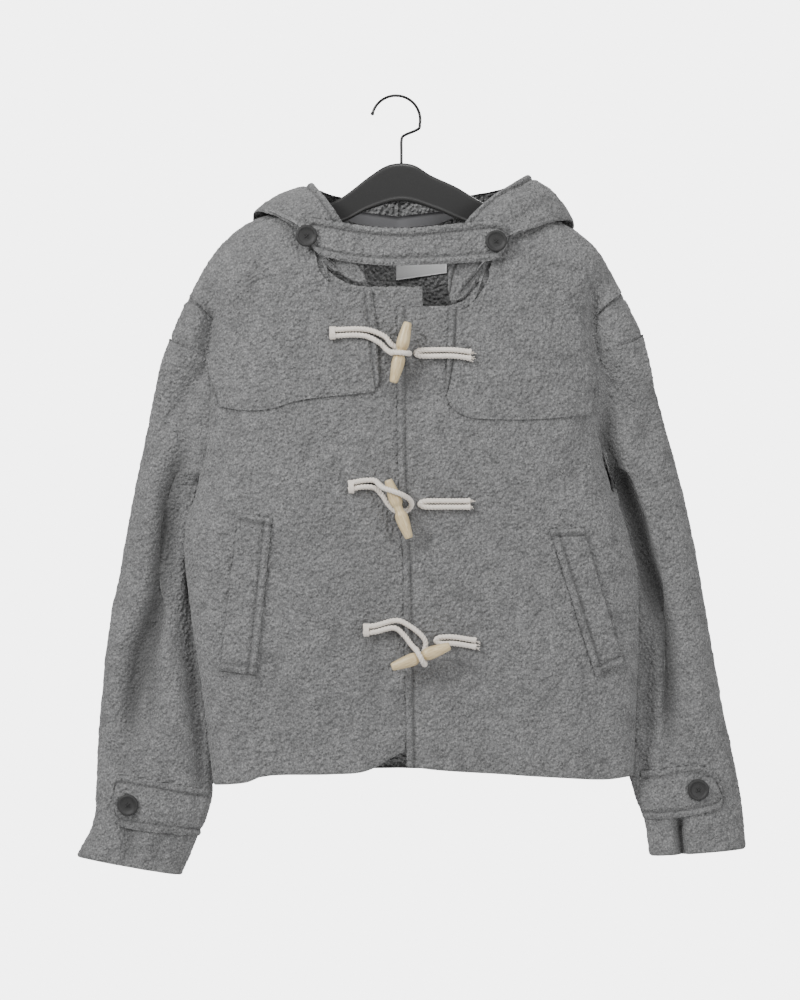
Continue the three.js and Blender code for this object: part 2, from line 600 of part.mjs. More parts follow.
// A point of a sleeve's outside: turn runs from 0 at the outer edge over the front to 1 at the inner edge,
// and on over the back to 2. The first rings start on the armhole seam.
function sleevePoint(side, along, turn) {
  const rows = SLEEVE[side].map((row, i) => ({ ...row, i }));
  const ring = (column) => read(rows, "i", along, column);
  const angle = turn * Math.PI;
  const across = (1 - Math.cos(angle)) / 2;
  const x = THREE.MathUtils.lerp(ring("xo"), ring("xi"), across);
  const z = THREE.MathUtils.lerp(ring("zo"), ring("zi"), across);
  const swell = Math.sign(Math.sin(angle)) * Math.abs(Math.sin(angle)) ** 0.8;
  const y = ring("y") - ring("deep") * swell;
  const free = smoothStep(0, 3, along);
  const clear = (swell > 0 ? 1.2 : 2.2) + 1.5 * smoothStep(0.6, 0.95, across);
  const seamX = THREE.MathUtils.lerp(x, SIGN[side] * (edgeAt(x, z) + clear), smoothStep(0, 0.15, across));
  const seamY = swell > 0 ? 1 - frontDepth(seamX, z) : backDepth(seamX, z);
  const startY = THREE.MathUtils.lerp(seamY, y, smoothStep(0.7, 1, across));
  const p = new THREE.Vector3(THREE.MathUtils.lerp(seamX, x, free), THREE.MathUtils.lerp(startY, y, free), z);
  return keepBehind(p, turn);
}

// A sleeve passes behind the side of the body, its front against the back and its own back clear of its front
function keepBehind(p, turn) {
  const inside = smoothStep(26, 9, Math.abs(p.x) - edgeAt(p.x, p.z));
  const below = smoothStep(UNDERARM + 26, UNDERARM + 10, p.z);
  const layer = 4.5 + 11 * smoothStep(0.86, 1.14, turn);
  const least = backDepth(p.x, p.z) + layer;
  if (p.y < least) p.y = THREE.MathUtils.lerp(p.y, least, inside * below);
  return p;
}

const HOOD_STEPS = 16;
const HOOD_ROUND = [0, 0.05, 0.15, 0.27, 0.38, 0.5, 0.62, 0.73, 0.85, 0.95, 1];
const LINING_FROM = 11; // of the steps across the hood

const SLEEVE_SEAM = 0.001; // half the gap between the sleeve's two pieces, as a share of half a turn
const SLEEVE_RINGS = 19;
const SLEEVE_STEPS = 9;

function makeSleeve(side) {
  const halves = { under: [1 + SLEEVE_SEAM, 2 - SLEEVE_SEAM], upper: [SLEEVE_SEAM, 1 - SLEEVE_SEAM] };
  let panel;
  for (const [name, [from, to]] of Object.entries(halves)) {
    const points = [];
    for (let k = 0; k <= SLEEVE_RINGS; k += 1) {
      const row = [];
      const along = THREE.MathUtils.lerp(0.03, SLEEVE[side].length - 1, k / SLEEVE_RINGS);
      for (let i = 0; i <= SLEEVE_STEPS; i += 1) {
        row.push(sleevePoint(side, along, THREE.MathUtils.lerp(from, to, i / SLEEVE_STEPS)));
      }
      points.push(row);
    }
    const out = name === "upper" ? TOWARDS_FRONT : TOWARDS_BACK;
    const square = (i, j, n) => {
      if (j === 0 || j === SLEEVE_STEPS) n.setY(0);
    };
    add(`sleeve_${side}_${name}`, wall(points, WOOL, out, { square }), COLORS.wool);
    panel = { points, square, out };
  }
  return panel;
}

// The outside of a hood half: across from the notch to the middle of the back, round from neck to rim
function hoodPoint(side, across, round01) {
  const rows = HOOD[side];
  const names = ["neck", "low", "belly", "high", "rim"];
  const at = across * (rows.length - 1);
  const points = names.map((name) => [0, 1, 2].map((c) => (
    read(rows.map((row, i) => ({ i, value: row[name][c] })), "i", at, "value")
  )));
  const ring = points.map((p, i) => ({ i, 0: p[0], 1: p[1], 2: p[2] }));
  const p = new THREE.Vector3(...[0, 1, 2].map((c) => read(ring, "i", round01 * (names.length - 1), c)));
  return clearOfCoat(side, p, round01);
}

// Half the neck opening at a height, the same above and below the neckline as at its ends
function neckHalf(side, z) {
  const rows = NECK[side].map(([x, height]) => ({ x, z: height }));
  const lowest = Math.min(...rows.map((row) => row.z));
  const highest = Math.max(...rows.map((row) => row.z));
  return Math.abs(read(rows, "z", THREE.MathUtils.clamp(z, lowest, highest), "x"));
}

// Where the hood lies over the coat it stays in front of the yokes, and behind the back
function clearOfCoat(side, p, round01) {
  const free = smoothStep(0, 0.12, round01);
  const over = smoothStep(-9, -3, Math.abs(p.x) - neckHalf(side, p.z));
  if (p.z > shoulderAt(p.x) || p.y > 0) {
    if (p.y > 8 && p.z < BACK_NECK + 30) p.y = Math.max(p.y, backDepth(p.x, p.z) + 2);
    return p;
  }
  const most = -(frontDepth(p.x, p.z) + WOOL + 1.4 + (FLAP + 1.3) * free);
  if (p.y > most) p.y = THREE.MathUtils.lerp(p.y, most, over);
  return p;
}

const HOOD_MIDDLE = new THREE.Vector3(0, 62, -170);
const awayFromHood = (p) => new THREE.Vector3().subVectors(p, HOOD_MIDDLE);

// Both halves of the hood, with the satin on their inside from LINING_FROM to the middle of the back
function makeHood() {
  const halves = ["left", "right"].map((side) => {
    const points = [];
    for (let i = 0; i <= HOOD_STEPS; i += 1) {
      points.push(HOOD_ROUND.map((r) => hoodPoint(side, i / HOOD_STEPS, r)));
    }
    for (const p of points[HOOD_STEPS]) p.x = (SIGN[side] * SEAM) / 2;
    const square = (i, j, n) => {
      if (i === HOOD_STEPS) n.setX(0);
    };
    const given = directions(points, awayFromHood, square);
    add(`hood_${side}`, wall(points, WOOL, awayFromHood, { given }), COLORS.wool);
    return { points, normals: given.normals, turn: given.turn };
  });
  const lined = (list, first) => list.slice(LINING_FROM, HOOD_STEPS + first).map((row) => row.slice(1, -1));
  const [left, right] = halves;
  const points = [...lined(left.points, 0), ...lined(right.points, 1).reverse()];
  const normals = [...lined(left.normals, 0), ...lined(right.normals, 1).reverse()];
  const given = { normals, turn: left.turn };
  add("hood_lining", wall(points, SATIN, awayFromHood, { lift: -WOOL - SEAM, given }), COLORS.satin, 0.5);
}

// A flat piece laid on the cloth, from a patch of places and the depth of what carries it
function overlay(name, cloth, counts, thick, color, under) {
  const outside = [];
  for (let i = 0; i <= counts[0]; i += 1) {
    const row = [];
    for (let j = 0; j <= counts[1]; j += 1) {
      const [x, z] = cloth(j / counts[1], i / counts[0]);
      row.push(new THREE.Vector3(x, -(under(x, z) + SEAM + thick), z));
    }
    outside.push(row);
  }
  add(name, wall(outside, thick, TOWARDS_FRONT), color);
}

function makeYoke(side, panel) {
  const { inner, lower } = YOKE[side];
  const sign = SIGN[side];
  const clear = 12;
  const neck = NECK[side].slice(1).map(([x, z]) => [x + sign * 4, z - clear * 0.7]);
  neck.unshift(inner[0]);
  const neckEnd = neck[neck.length - 1];
  const shoulder = [];
  for (let i = 0; i <= 10; i += 1) {
    const x = THREE.MathUtils.lerp(neckEnd[0], BAND[side].upper[0][0] * 0.975, i / 10);
    shoulder.push([x, shoulderAt(x) - THREE.MathUtils.lerp(clear, 6.5, i / 10)]);
  }
  const from = shoulder[shoulder.length - 1];
  const to = lower[lower.length - 1];
  const foldX = (z) => sign * (read(EDGE, "z", z, side) - 3);
  const foldTop = [foldX(FOLD_TOP - 3), FOLD_TOP - 3];
  const outer = joined([route([from, foldTop]), route([foldTop, [foldX(-290), -290], to])]);
  const corner = inner[inner.length - 1];
  const bottom = route([corner, ...lower].reverse());
  const edges = [route(neck), route(shoulder), outer, bottom, route([...inner].reverse())];
  add(`yoke_${side}`, laidOn(panel, outlineOf(edges, 8)), COLORS.wool);
}

function makeWelt(side, panel) {
  add(`pocket_welt_${side}`, laidOn(panel, WELTS[side], FLAP + 0.6), COLORS.wool);
}

function makeStrap() {
  const upper = route(STRAP.upper);
  const lower = route(STRAP.lower);
  const strap = (u, v) => [0, 1].map((c) => THREE.MathUtils.lerp(upper(u)[c], lower(u)[c], v));
  const depth = (x) => -read(STRAP.depth, "x", x, "y") - SEAM - FLAP;
  overlay("chin_strap", strap, [4, 18], FLAP, COLORS.wool, depth);
}

function button(name, place, towards) {
  const r = BUTTON / 2;
  const t = BUTTON_THICK;
  const dish = t - 1.3;
  const profile = [[0, 0], [r - 1, 0], [r, 1], [r, t - 1.2], [r - 1.4, t], [r - 3.4, t - 0.4], [r - 4.4, dish],
    [0, dish]];
  const geometry = new THREE.LatheGeometry(profile.map(([x, y]) => new THREE.Vector2(x, y)), 16);
  const mesh = add(name, geometry, COLORS.button, 0.55);
  mesh.position.copy(place);
  mesh.quaternion.setFromUnitVectors(new THREE.Vector3(0, 1, 0), towards.normalize());
}

function makeStrapButtons() {
  for (const [side, { x, z }] of Object.entries(STRAP_BUTTONS)) {
    const y = read(STRAP.depth, "x", x, "y") - SEAM;
    const reach = BUTTON / 3;
    const rise = read(STRAP.depth, "x", x + reach, "y") - read(STRAP.depth, "x", x - reach, "y");
    const slope = rise / (2 * reach);
    button(`strap_button_${side}`, new THREE.Vector3(x, y, z), new THREE.Vector3(slope, -1, 0));
  }
}

function makeTab(side, panel) {
  add(`cuff_tab_${side}`, laidOn(panel, TABS[side].outline), COLORS.wool);
  const { across, along } = TABS[side].button;
  const turn = Math.acos(1 - 2 * across) / Math.PI;
  const e = 0.03;
  const da = sleevePoint(side, along, turn + e).sub(sleevePoint(side, along, turn - e));
  const dl = sleevePoint(side, along + e, turn).sub(sleevePoint(side, along - e, turn));
  const n = da.cross(dl).normalize();
  if (n.y > 0) n.negate();
  button(`cuff_button_${side}`, sleevePoint(side, along, turn).addScaledVector(n, SEAM + FLAP + 0.2), n);
}

// How far the outermost cloth stands in front of the hanger's plane, with the lap and the yokes
function cover(x, z) {
  const lapped = lap(x) * smoothStep(-15, -5, x);
  const onLeft = smoothStep(-12, -19, x) * smoothStep(-345, -338, z);
  const onRight = smoothStep(42, 49, x) * smoothStep(-355, -348, z);
  return frontDepth(x, z) + lapped + (SEAM + FLAP) * Math.max(onLeft, onRight) + 1;
}

function tube(path, diameter, sides, count) {
  const section = new THREE.Shape();
  for (let i = 0; i < sides; i += 1) {
    const a = (i / sides) * 2 * Math.PI;
    const method = i === 0 ? "moveTo" : "lineTo";
    section[method]((Math.cos(a) * diameter) / 2, (Math.sin(a) * diameter) / 2);
  }
  section.closePath();
  const curve = new THREE.CatmullRomCurve3(path, false, "centripetal");
  return new THREE.ExtrudeGeometry(section, { steps: count, bevelEnabled: false, extrudePath: curve });
}

function makeToggle(place, number) {
  const middle = [0, 1].map((c) => (place.top[c] + place.foot[c]) / 2);
  const half = TOGGLE_LENGTH / 2;
  const profile = [[0, -half], [TOGGLE_END * 0.7, -half], [TOGGLE_END, -half + 1],
    [TOGGLE_RADIUS, -half * 0.42], [TOGGLE_RADIUS * 0.97, -half * 0.2],
    [TOGGLE_WAIST + 0.4, -3.8], [TOGGLE_WAIST, -3.1]];
  const both = [...profile, ...profile.map(([x, y]) => [x, -y]).reverse()];
  const geometry = new THREE.LatheGeometry(both.map(([x, y]) => new THREE.Vector2(x, y)), 12);
  const mesh = add(`toggle_${number}`, geometry, COLORS.wood, 0.5);
  mesh.position.set(middle[0], place.rest.toggle - cover(...middle) - TOGGLE_LIFT, middle[1]);
  const way = new THREE.Vector3(place.foot[0] - place.top[0], 0, place.foot[1] - place.top[1]).normalize();
  mesh.quaternion.setFromUnitVectors(new THREE.Vector3(0, 1, 0), way);
  const along = [way.x, way.z];
  const wrap = [];
  for (let degrees = -90; place.wrap && degrees <= 200; degrees += 290 / 8) {
    const a = THREE.MathUtils.degToRad(degrees);
    const across = WRAP_RADIUS * Math.cos(a) * place.wrap.way;
    const drift = place.wrap.drift * (degrees - 55) / 145;
    const x = middle[0] - along[1] * across + along[0] * drift;
    const z = middle[1] + along[0] * across + along[1] * drift;
    wrap.push([x, z, TOGGLE_LIFT + WRAP_RADIUS * Math.sin(a)]);
  }
  const cords = { holder: [...place.before, ...wrap, ...place.after], loop: place.loop };
  const flat = cover(...middle);
  for (const [name, places] of Object.entries(cords)) {
    const path = places.map(([x, z, lift]) => {
      const under = THREE.MathUtils.lerp(cover(x, z), flat, smoothStep(3, 9, lift));
      return new THREE.Vector3(x, place.rest[name] - under - lift, z);
    });
    add(`toggle_${number}_${name}`, tube(path, CORD, CORD_SIDES, path.length * 2), COLORS.cord, 0.9);
  }
}

function makeLabel() {
  const inside = (x, z) => SEAM + WOOL - backDepth(x, z);
  const { left, right, top, bottom, thick } = LABEL;
  const cloth = patch(route([[left, top[0]], [right, top[1]]]), route([[left, bottom[0]], [right, bottom[1]]]),
    route([[left, top[0]], [left, bottom[0]]]), route([[right, top[1]], [right, bottom[1]]]));
  overlay("label", cloth, [3, 4], thick, COLORS.label, inside);
}

function makeHanger() {
  const outline = [...HANGER_TOP, ...HANGER_LOW].map(([x, z]) => new THREE.Vector2(x, z));
  const geometry = new THREE.ExtrudeGeometry(new THREE.Shape(outline), {
    depth: HANGER_THICK - 2 * HANGER_BEVEL, bevelEnabled: true, bevelThickness: HANGER_BEVEL,
    bevelSize: HANGER_BEVEL, bevelOffset: -HANGER_BEVEL, bevelSegments: 1,
  });
  geometry.rotateX(Math.PI / 2);
  geometry.translate(0, HANGER_THICK / 2 - HANGER_BEVEL, 0);
  add("hanger_body", geometry, COLORS.hanger, 0.4);
}

function makeHook() {
  const centre = [-2.2, HOOK_WIRE / 2 - HOOK_RADIUS];
  const path = [];
  const start = THREE.MathUtils.degToRad(165);
  const end = THREE.MathUtils.degToRad(-22);
  for (let i = 0; i <= 16; i += 1) {
    const a = THREE.MathUtils.lerp(start, end, i / 16);
    const x = centre[0] + HOOK_RADIUS * Math.cos(a);
    path.push(new THREE.Vector3(x, 0, centre[1] + HOOK_RADIUS * Math.sin(a)));
  }
  for (const [x, z] of HOOK_STEM) path.push(new THREE.Vector3(x, 0, z));
  add("hanger_hook", tube(path, HOOK_WIRE, 8, 30), COLORS.wire, 0.35);
}

makeHanger();
makeHook();
makeBack();
for (const side of ["left", "right"]) {
  const front = makeFront(side);
  makeBand(side);
  const upperSleeve = makeSleeve(side);
  makeYoke(side, front);
  makeWelt(side, front);
  makeTab(side, upperSleeve);
}
makeHood();
makeStrap();
makeStrapButtons();
makeLabel();
TOGGLES.forEach((place, k) => makeToggle(place, k + 1));

export default group;
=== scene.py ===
# %% [markdown]
# A hooded duffle coat of thick looped wool on its hanger, dressed in Blender.
# The solids were made elsewhere and are loaded as a fixed frame. Every cloth piece is then built
# again as a thin shell on the same form, fine enough to carry the pile, the creases and the stitched
# edges, and the solid it stands for is hidden.

# %% The frame and the tools
import math

import bpy
import numpy as np
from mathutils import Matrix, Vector


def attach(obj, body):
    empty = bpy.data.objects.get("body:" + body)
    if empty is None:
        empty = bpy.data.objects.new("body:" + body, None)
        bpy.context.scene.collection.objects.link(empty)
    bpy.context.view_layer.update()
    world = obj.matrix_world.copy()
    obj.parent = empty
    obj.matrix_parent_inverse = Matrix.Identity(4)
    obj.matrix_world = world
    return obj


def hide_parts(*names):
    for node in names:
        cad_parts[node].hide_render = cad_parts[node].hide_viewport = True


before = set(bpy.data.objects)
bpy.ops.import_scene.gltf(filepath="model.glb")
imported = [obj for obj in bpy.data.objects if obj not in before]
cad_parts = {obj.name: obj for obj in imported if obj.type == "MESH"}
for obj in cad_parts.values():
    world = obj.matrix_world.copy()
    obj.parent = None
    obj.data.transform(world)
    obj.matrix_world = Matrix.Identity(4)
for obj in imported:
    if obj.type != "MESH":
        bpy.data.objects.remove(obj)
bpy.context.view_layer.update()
MM = 0.001
SIGN = {"left": -1, "right": 1}

# %% [markdown]
# The camera comes first, because everything is judged through it. A coat on a wall is photographed
# with a long lens from straight in front, so the verticals stay vertical and the sleeves keep their
# width. 1 px of the photograph is 1.08 mm on the coat.

# %% Camera
PIXEL = 1.08
FRAME_HEIGHT = 1000 * PIXEL * MM
AIM = (0.0022, -0.0, -0.4352)
DISTANCE = 4.0
SENSOR = 36.0


def place_camera():
    data = bpy.data.cameras.new("straight_on")
    data.sensor_width = SENSOR
    data.lens = SENSOR * DISTANCE / FRAME_HEIGHT
    camera = bpy.data.objects.new("straight_on", data)
    bpy.context.scene.collection.objects.link(camera)
    camera.location = (AIM[0], AIM[1] - DISTANCE, AIM[2])
    camera.rotation_euler = (math.pi / 2, 0, 0)
    bpy.context.scene.camera = camera
    return camera


print("lens:", round(place_camera().data.lens, 1), "mm")

# %% [markdown]
# Soft studio light: a dim pale room all round, a large soft lamp high on the left, weaker ones above
# and on the right, and one behind for the back. An even light would be simpler, but only light with
# a direction shows pile, stitching and folds. The room that the camera sees is brighter than the
# light it sheds, as a white backdrop is that has lamps of its own: Light Path tells the two apart.

# %% Room and lamps
ROOM_LIGHT = 0.40
BACKDROP = 5.2
LAMPS = [
    {"name": "key", "at": (-1.9, -1.7, 1.0), "size": 0.9, "power": 70.0},
    {"name": "overhead", "at": (0.1, -1.5, 1.9), "size": 0.9, "power": 26.0},
    {"name": "fill", "at": (1.9, -2.6, 0.1), "size": 1.3, "power": 40.0},
    {"name": "back", "at": (0.8, 2.2, 1.2), "size": 1.5, "power": 46.0},
]


def light_room():
    world = bpy.data.worlds.new("pale_room")
    world.use_nodes = True
    tree = world.node_tree
    background = tree.nodes["Background"]
    background.inputs["Color"].default_value = (1, 1, 1.004, 1)
    rays = tree.nodes.new("ShaderNodeLightPath")
    strength = tree.nodes.new("ShaderNodeMapRange")
    strength.inputs["To Min"].default_value = ROOM_LIGHT
    strength.inputs["To Max"].default_value = BACKDROP
    tree.links.new(rays.outputs["Is Camera Ray"], strength.inputs["Value"])
    tree.links.new(strength.outputs["Result"], background.inputs["Strength"])
    bpy.context.scene.world = world
    for lamp in LAMPS:
        data = bpy.data.lights.new(lamp["name"], "AREA")
        data.size = lamp["size"]
        data.energy = lamp["power"]
        thing = bpy.data.objects.new(lamp["name"], data)
        bpy.context.scene.collection.objects.link(thing)
        thing.location = lamp["at"]
        towards = Vector(AIM) - Vector(lamp["at"])
        thing.rotation_euler = towards.to_track_quat("-Z", "Y").to_euler()


light_room()
print("lamps:", [lamp["name"] for lamp in LAMPS])

# %% [markdown]
# A small kit for materials. A material is a list of nodes that feed one Principled shader; the
# helpers below keep each recipe short enough to read.


# %% Material kit
def new_material(name):
    material = bpy.data.materials.new(name)
    material.use_nodes = True
    tree = material.node_tree
    return material, tree, tree.nodes["Principled BSDF"]


def node(tree, kind, values=(), **settings):
    made = tree.nodes.new(kind)
    for key, value in settings.items():
        setattr(made, key, value)
    for key, value in dict(values).items():
        made.inputs[key].default_value = value
    return made


def group_of(name, sockets):
    """An empty node group with its input and output sockets; each row is in/out, name, kind, value."""
    tree = bpy.data.node_groups.new(name, "ShaderNodeTree")
    for way, title, kind, value in sockets:
        socket = tree.interface.new_socket(title, in_out=way, socket_type=kind)
        if value is not None:
            socket.default_value = value
    return tree, tree.nodes.new("NodeGroupInput"), tree.nodes.new("NodeGroupOutput")


def use_group(tree, group, **values):
    made = tree.nodes.new("ShaderNodeGroup")
    made.node_tree = group
    for key, value in values.items():
        made.inputs[key.replace("_", " ")].default_value = value
    return made


def grey(value, warm=0.0):
    return (value * (1 + warm), value, value * (1 - warm), 1)


# %% [markdown]
# Two effects are shared by several materials, so each is a node group. Mottling is the slow drift of
# tone that no dyed or turned surface is without. Flecks are the small light and dark spots of mixed
# fibres or of fine grain.

# %% Shared effects: mottling and flecks
IN, OUT = "INPUT", "OUTPUT"


def make_mottling():
    tree, inside, outside = group_of("mottling", [
        (IN, "Color", "NodeSocketColor", (0.5, 0.5, 0.5, 1)), (IN, "Scale", "NodeSocketFloat", 12.0),
        (IN, "Amount", "NodeSocketFloat", 0.1), (OUT, "Color", "NodeSocketColor", None),
    ])
    place = node(tree, "ShaderNodeTexCoord")
    clouds = node(tree, "ShaderNodeTexNoise", {"Detail": 3.0, "Roughness": 0.55})
    spread = node(tree, "ShaderNodeMath", {1: 0.5}, operation="SUBTRACT")
    scaled = node(tree, "ShaderNodeMath", operation="MULTIPLY")
    lifted = node(tree, "ShaderNodeMath", {1: 1.0}, operation="ADD")
    tint = node(tree, "ShaderNodeMix", {0: 1.0}, data_type="RGBA", blend_type="MULTIPLY")
    link = tree.links.new
    link(place.outputs["Object"], clouds.inputs["Vector"])
    link(inside.outputs["Scale"], clouds.inputs["Scale"])
    link(clouds.outputs["Fac"], spread.inputs[0])
    link(spread.outputs[0], scaled.inputs[0])
    link(inside.outputs["Amount"], scaled.inputs[1])
    link(scaled.outputs[0], lifted.inputs[0])
    link(inside.outputs["Color"], tint.inputs[6])
    link(lifted.outputs[0], tint.inputs[7])
    link(tint.outputs[2], outside.inputs["Color"])
    return tree


def make_flecks():
    tree, inside, outside = group_of("flecks", [
        (IN, "Color", "NodeSocketColor", (0.5, 0.5, 0.5, 1)),
        (IN, "Dark", "NodeSocketColor", (0.1, 0.1, 0.1, 1)),
        (IN, "Light", "NodeSocketColor", (0.8, 0.8, 0.8, 1)), (IN, "Scale", "NodeSocketFloat", 500.0),
        (IN, "Amount", "NodeSocketFloat", 0.5), (OUT, "Color", "NodeSocketColor", None),
        (OUT, "Height", "NodeSocketFloat", None),
    ])
    place = node(tree, "ShaderNodeTexCoord")
    grain = node(tree, "ShaderNodeTexNoise", {"Detail": 2.0, "Roughness": 0.6})
    low = node(tree, "ShaderNodeMapRange", {"From Min": 0.30, "From Max": 0.5, "To Min": 1.0,
                                            "To Max": 0.0})
    high = node(tree, "ShaderNodeMapRange", {"From Min": 0.5, "From Max": 0.70})
    dark_share = node(tree, "ShaderNodeMath", operation="MULTIPLY")
    light_share = node(tree, "ShaderNodeMath", operation="MULTIPLY")
    darker = node(tree, "ShaderNodeMix", data_type="RGBA")
    lighter = node(tree, "ShaderNodeMix", data_type="RGBA")
    link = tree.links.new
    link(place.outputs["Object"], grain.inputs["Vector"])
    link(inside.outputs["Scale"], grain.inputs["Scale"])
    for edge, share in ((low, dark_share), (high, light_share)):
        link(grain.outputs["Fac"], edge.inputs["Value"])
        link(edge.outputs["Result"], share.inputs[0])
        link(inside.outputs["Amount"], share.inputs[1])
    link(dark_share.outputs[0], darker.inputs[0])
    link(inside.outputs["Color"], darker.inputs[6])
    link(inside.outputs["Dark"], darker.inputs[7])
    link(light_share.outputs[0], lighter.inputs[0])
    link(darker.outputs[2], lighter.inputs[6])
    link(inside.outputs["Light"], lighter.inputs[7])
    link(lighter.outputs[2], outside.inputs["Color"])
    link(grain.outputs["Fac"], outside.inputs["Height"])
    return tree


MOTTLING = make_mottling()
FLECKS = make_flecks()
print("shared effects:", MOTTLING.name, FLECKS.name)

# %% [markdown]
# The wool. Looped (boucle) coating is a matt tangle of small curls. Seen close it is a grain of
# 3 mm curls with light and dark fibres. Hair strands would show each fibre, but are far too many, so
# the curls are real relief in the shells below. The material adds the mixed fibres, the finest curl
# as bump, and a little sheen at the rim. It also carries painted shade: between the curls, along
# stitching and deep in a fold each shell stores a value per point, and the wool's colour darkens by it.

# %% Wool
WOOL_GREY = 0.182
FIBRES_PER_METRE = 560.0
CURLS_PER_METRE = 300.0
CURL_HEIGHT = 0.0036


def make_wool(name, tone=1.0):
    material, tree, shader = new_material(name)
    link = tree.links.new
    fibres = use_group(tree, FLECKS, Scale=FIBRES_PER_METRE, Amount=0.5)
    fibres.inputs["Dark"].default_value = grey(WOOL_GREY * 0.36 * tone)
    fibres.inputs["Light"].default_value = grey(WOOL_GREY * 2.3 * tone, 0.01)
    drift = use_group(tree, MOTTLING, Scale=9.0, Amount=0.16)
    drift.inputs["Color"].default_value = grey(WOOL_GREY * tone, -0.004)
    link(drift.outputs["Color"], fibres.inputs["Color"])
    # Painted shade: the colour is darkened towards a deep grey by the per-point value that each shell
    # stores.
    painted_shade = node(tree, "ShaderNodeAttribute", attribute_name="painted_shade")
    shade = node(tree, "ShaderNodeMix", {"B": grey(WOOL_GREY * 0.20 * tone)}, data_type="RGBA")
    link(painted_shade.outputs["Fac"], shade.inputs["Factor"])
    link(fibres.outputs["Color"], shade.inputs["A"])
    link(shade.outputs["Result"], shader.inputs["Base Color"])
    place = node(tree, "ShaderNodeTexCoord")
    curls = node(tree, "ShaderNodeTexVoronoi", {"Scale": CURLS_PER_METRE}, feature="SMOOTH_F1")
    link(place.outputs["Object"], curls.inputs["Vector"])
    bump = node(tree, "ShaderNodeBump", {"Strength": 1.0, "Distance": CURL_HEIGHT})
    link(curls.outputs["Distance"], bump.inputs["Height"])
    bump.invert = True
    link(bump.outputs["Normal"], shader.inputs["Normal"])
    shader.inputs["Roughness"].default_value = 1.0
    shader.inputs["Specular IOR Level"].default_value = 0.05
    shader.inputs["Sheen Weight"].default_value = 0.18
    shader.inputs["Sheen Roughness"].default_value = 0.6
    return material


WOOL = make_wool("looped_wool")
print("wool:", WOOL.name)

# %% [markdown]
# Satin lining and label. Satin is smooth along its warp: a soft gloss, hardly any grain. The label is
# a woven tape, whiter and matter, left blank.


# %% Satin and label
def make_satin():
    material, tree, shader = new_material("grey_satin")
    drift = use_group(tree, MOTTLING, Scale=30.0, Amount=0.12)
    drift.inputs["Color"].default_value = (0.215, 0.213, 0.222, 1)
    threads = use_group(tree, FLECKS, Scale=2600.0, Amount=0.25)
    threads.inputs["Dark"].default_value = grey(0.15)
    threads.inputs["Light"].default_value = grey(0.3)
    tree.links.new(drift.outputs["Color"], threads.inputs["Color"])
    tree.links.new(threads.outputs["Color"], shader.inputs["Base Color"])
    shader.inputs["Roughness"].default_value = 0.42
    shader.inputs["Specular IOR Level"].default_value = 0.45
    shader.inputs["Sheen Weight"].default_value = 0.2
    return material


def make_label_tape():
    material, tree, shader = new_material("blank_label_tape")
    threads = use_group(tree, FLECKS, Scale=1800.0, Amount=0.3)
    threads.inputs["Color"].default_value = grey(0.66)
    threads.inputs["Dark"].default_value = grey(0.5)
    threads.inputs["Light"].default_value = grey(0.8)
    tree.links.new(threads.outputs["Color"], shader.inputs["Base Color"])
    bump = node(tree, "ShaderNodeBump", {"Strength": 0.3, "Distance": 0.0002})
    tree.links.new(threads.outputs["Height"], bump.inputs["Height"])
    tree.links.new(bump.outputs["Normal"], shader.inputs["Normal"])
    shader.inputs["Roughness"].default_value = 0.7
    return material


SATIN = make_satin()
LABEL_TAPE = make_label_tape()
print("linings:", SATIN.name, LABEL_TAPE.name)

# %% [markdown]
# Cotton cord, turned wood, buttons, hanger and wire. Cotton is off-white with a warm shadow between
# its strands. The toggles are pale wood with long fine grain under a thin clear coat. Buttons, hanger
# and hook are near black, and differ only in how they shine.


# %% Cord, wood and the black parts
def make_cotton():
    material, tree, shader = new_material("cotton_cord")
    fibres = use_group(tree, FLECKS, Scale=1500.0, Amount=0.45)
    fibres.inputs["Color"].default_value = (0.78, 0.72, 0.65, 1)
    fibres.inputs["Dark"].default_value = (0.58, 0.50, 0.42, 1)
    fibres.inputs["Light"].default_value = (0.90, 0.87, 0.83, 1)
    tree.links.new(fibres.outputs["Color"], shader.inputs["Base Color"])
    bump = node(tree, "ShaderNodeBump", {"Strength": 0.6, "Distance": 0.0004})
    tree.links.new(fibres.outputs["Height"], bump.inputs["Height"])
    tree.links.new(bump.outputs["Normal"], shader.inputs["Normal"])
    shader.inputs["Roughness"].default_value = 0.95
    shader.inputs["Sheen Weight"].default_value = 0.25
    return material


def make_toggle_wood():
    material, tree, shader = new_material("pale_turned_wood")
    link = tree.links.new
    uv = node(tree, "ShaderNodeUVMap")
    stretch = node(tree, "ShaderNodeMapping")
    stretch.inputs["Scale"].default_value = (1.2, 0.28, 1.0)
    grain = node(tree, "ShaderNodeTexNoise", {"Scale": 22.0, "Detail": 5.0, "Roughness": 0.6,
                                              "Distortion": 0.4})
    tones = node(tree, "ShaderNodeValToRGB")
    tones.color_ramp.elements[0].position = 0.32
    tones.color_ramp.elements[0].color = (0.50, 0.37, 0.19, 1)
    tones.color_ramp.elements[1].position = 0.62
    tones.color_ramp.elements[1].color = (0.70, 0.575, 0.345, 1)
    link(uv.outputs["UV"], stretch.inputs["Vector"])
    link(stretch.outputs["Vector"], grain.inputs["Vector"])
    link(grain.outputs["Fac"], tones.inputs["Fac"])
    drift = use_group(tree, MOTTLING, Scale=40.0, Amount=0.14)
    link(tones.outputs["Color"], drift.inputs["Color"])
    link(drift.outputs["Color"], shader.inputs["Base Color"])
    bump = node(tree, "ShaderNodeBump", {"Strength": 0.15, "Distance": 0.0003})
    link(grain.outputs["Fac"], bump.inputs["Height"])
    link(bump.outputs["Normal"], shader.inputs["Normal"])
    shader.inputs["Roughness"].default_value = 0.42
    shader.inputs["Coat Weight"].default_value = 0.25
    shader.inputs["Coat Roughness"].default_value = 0.25
    return material


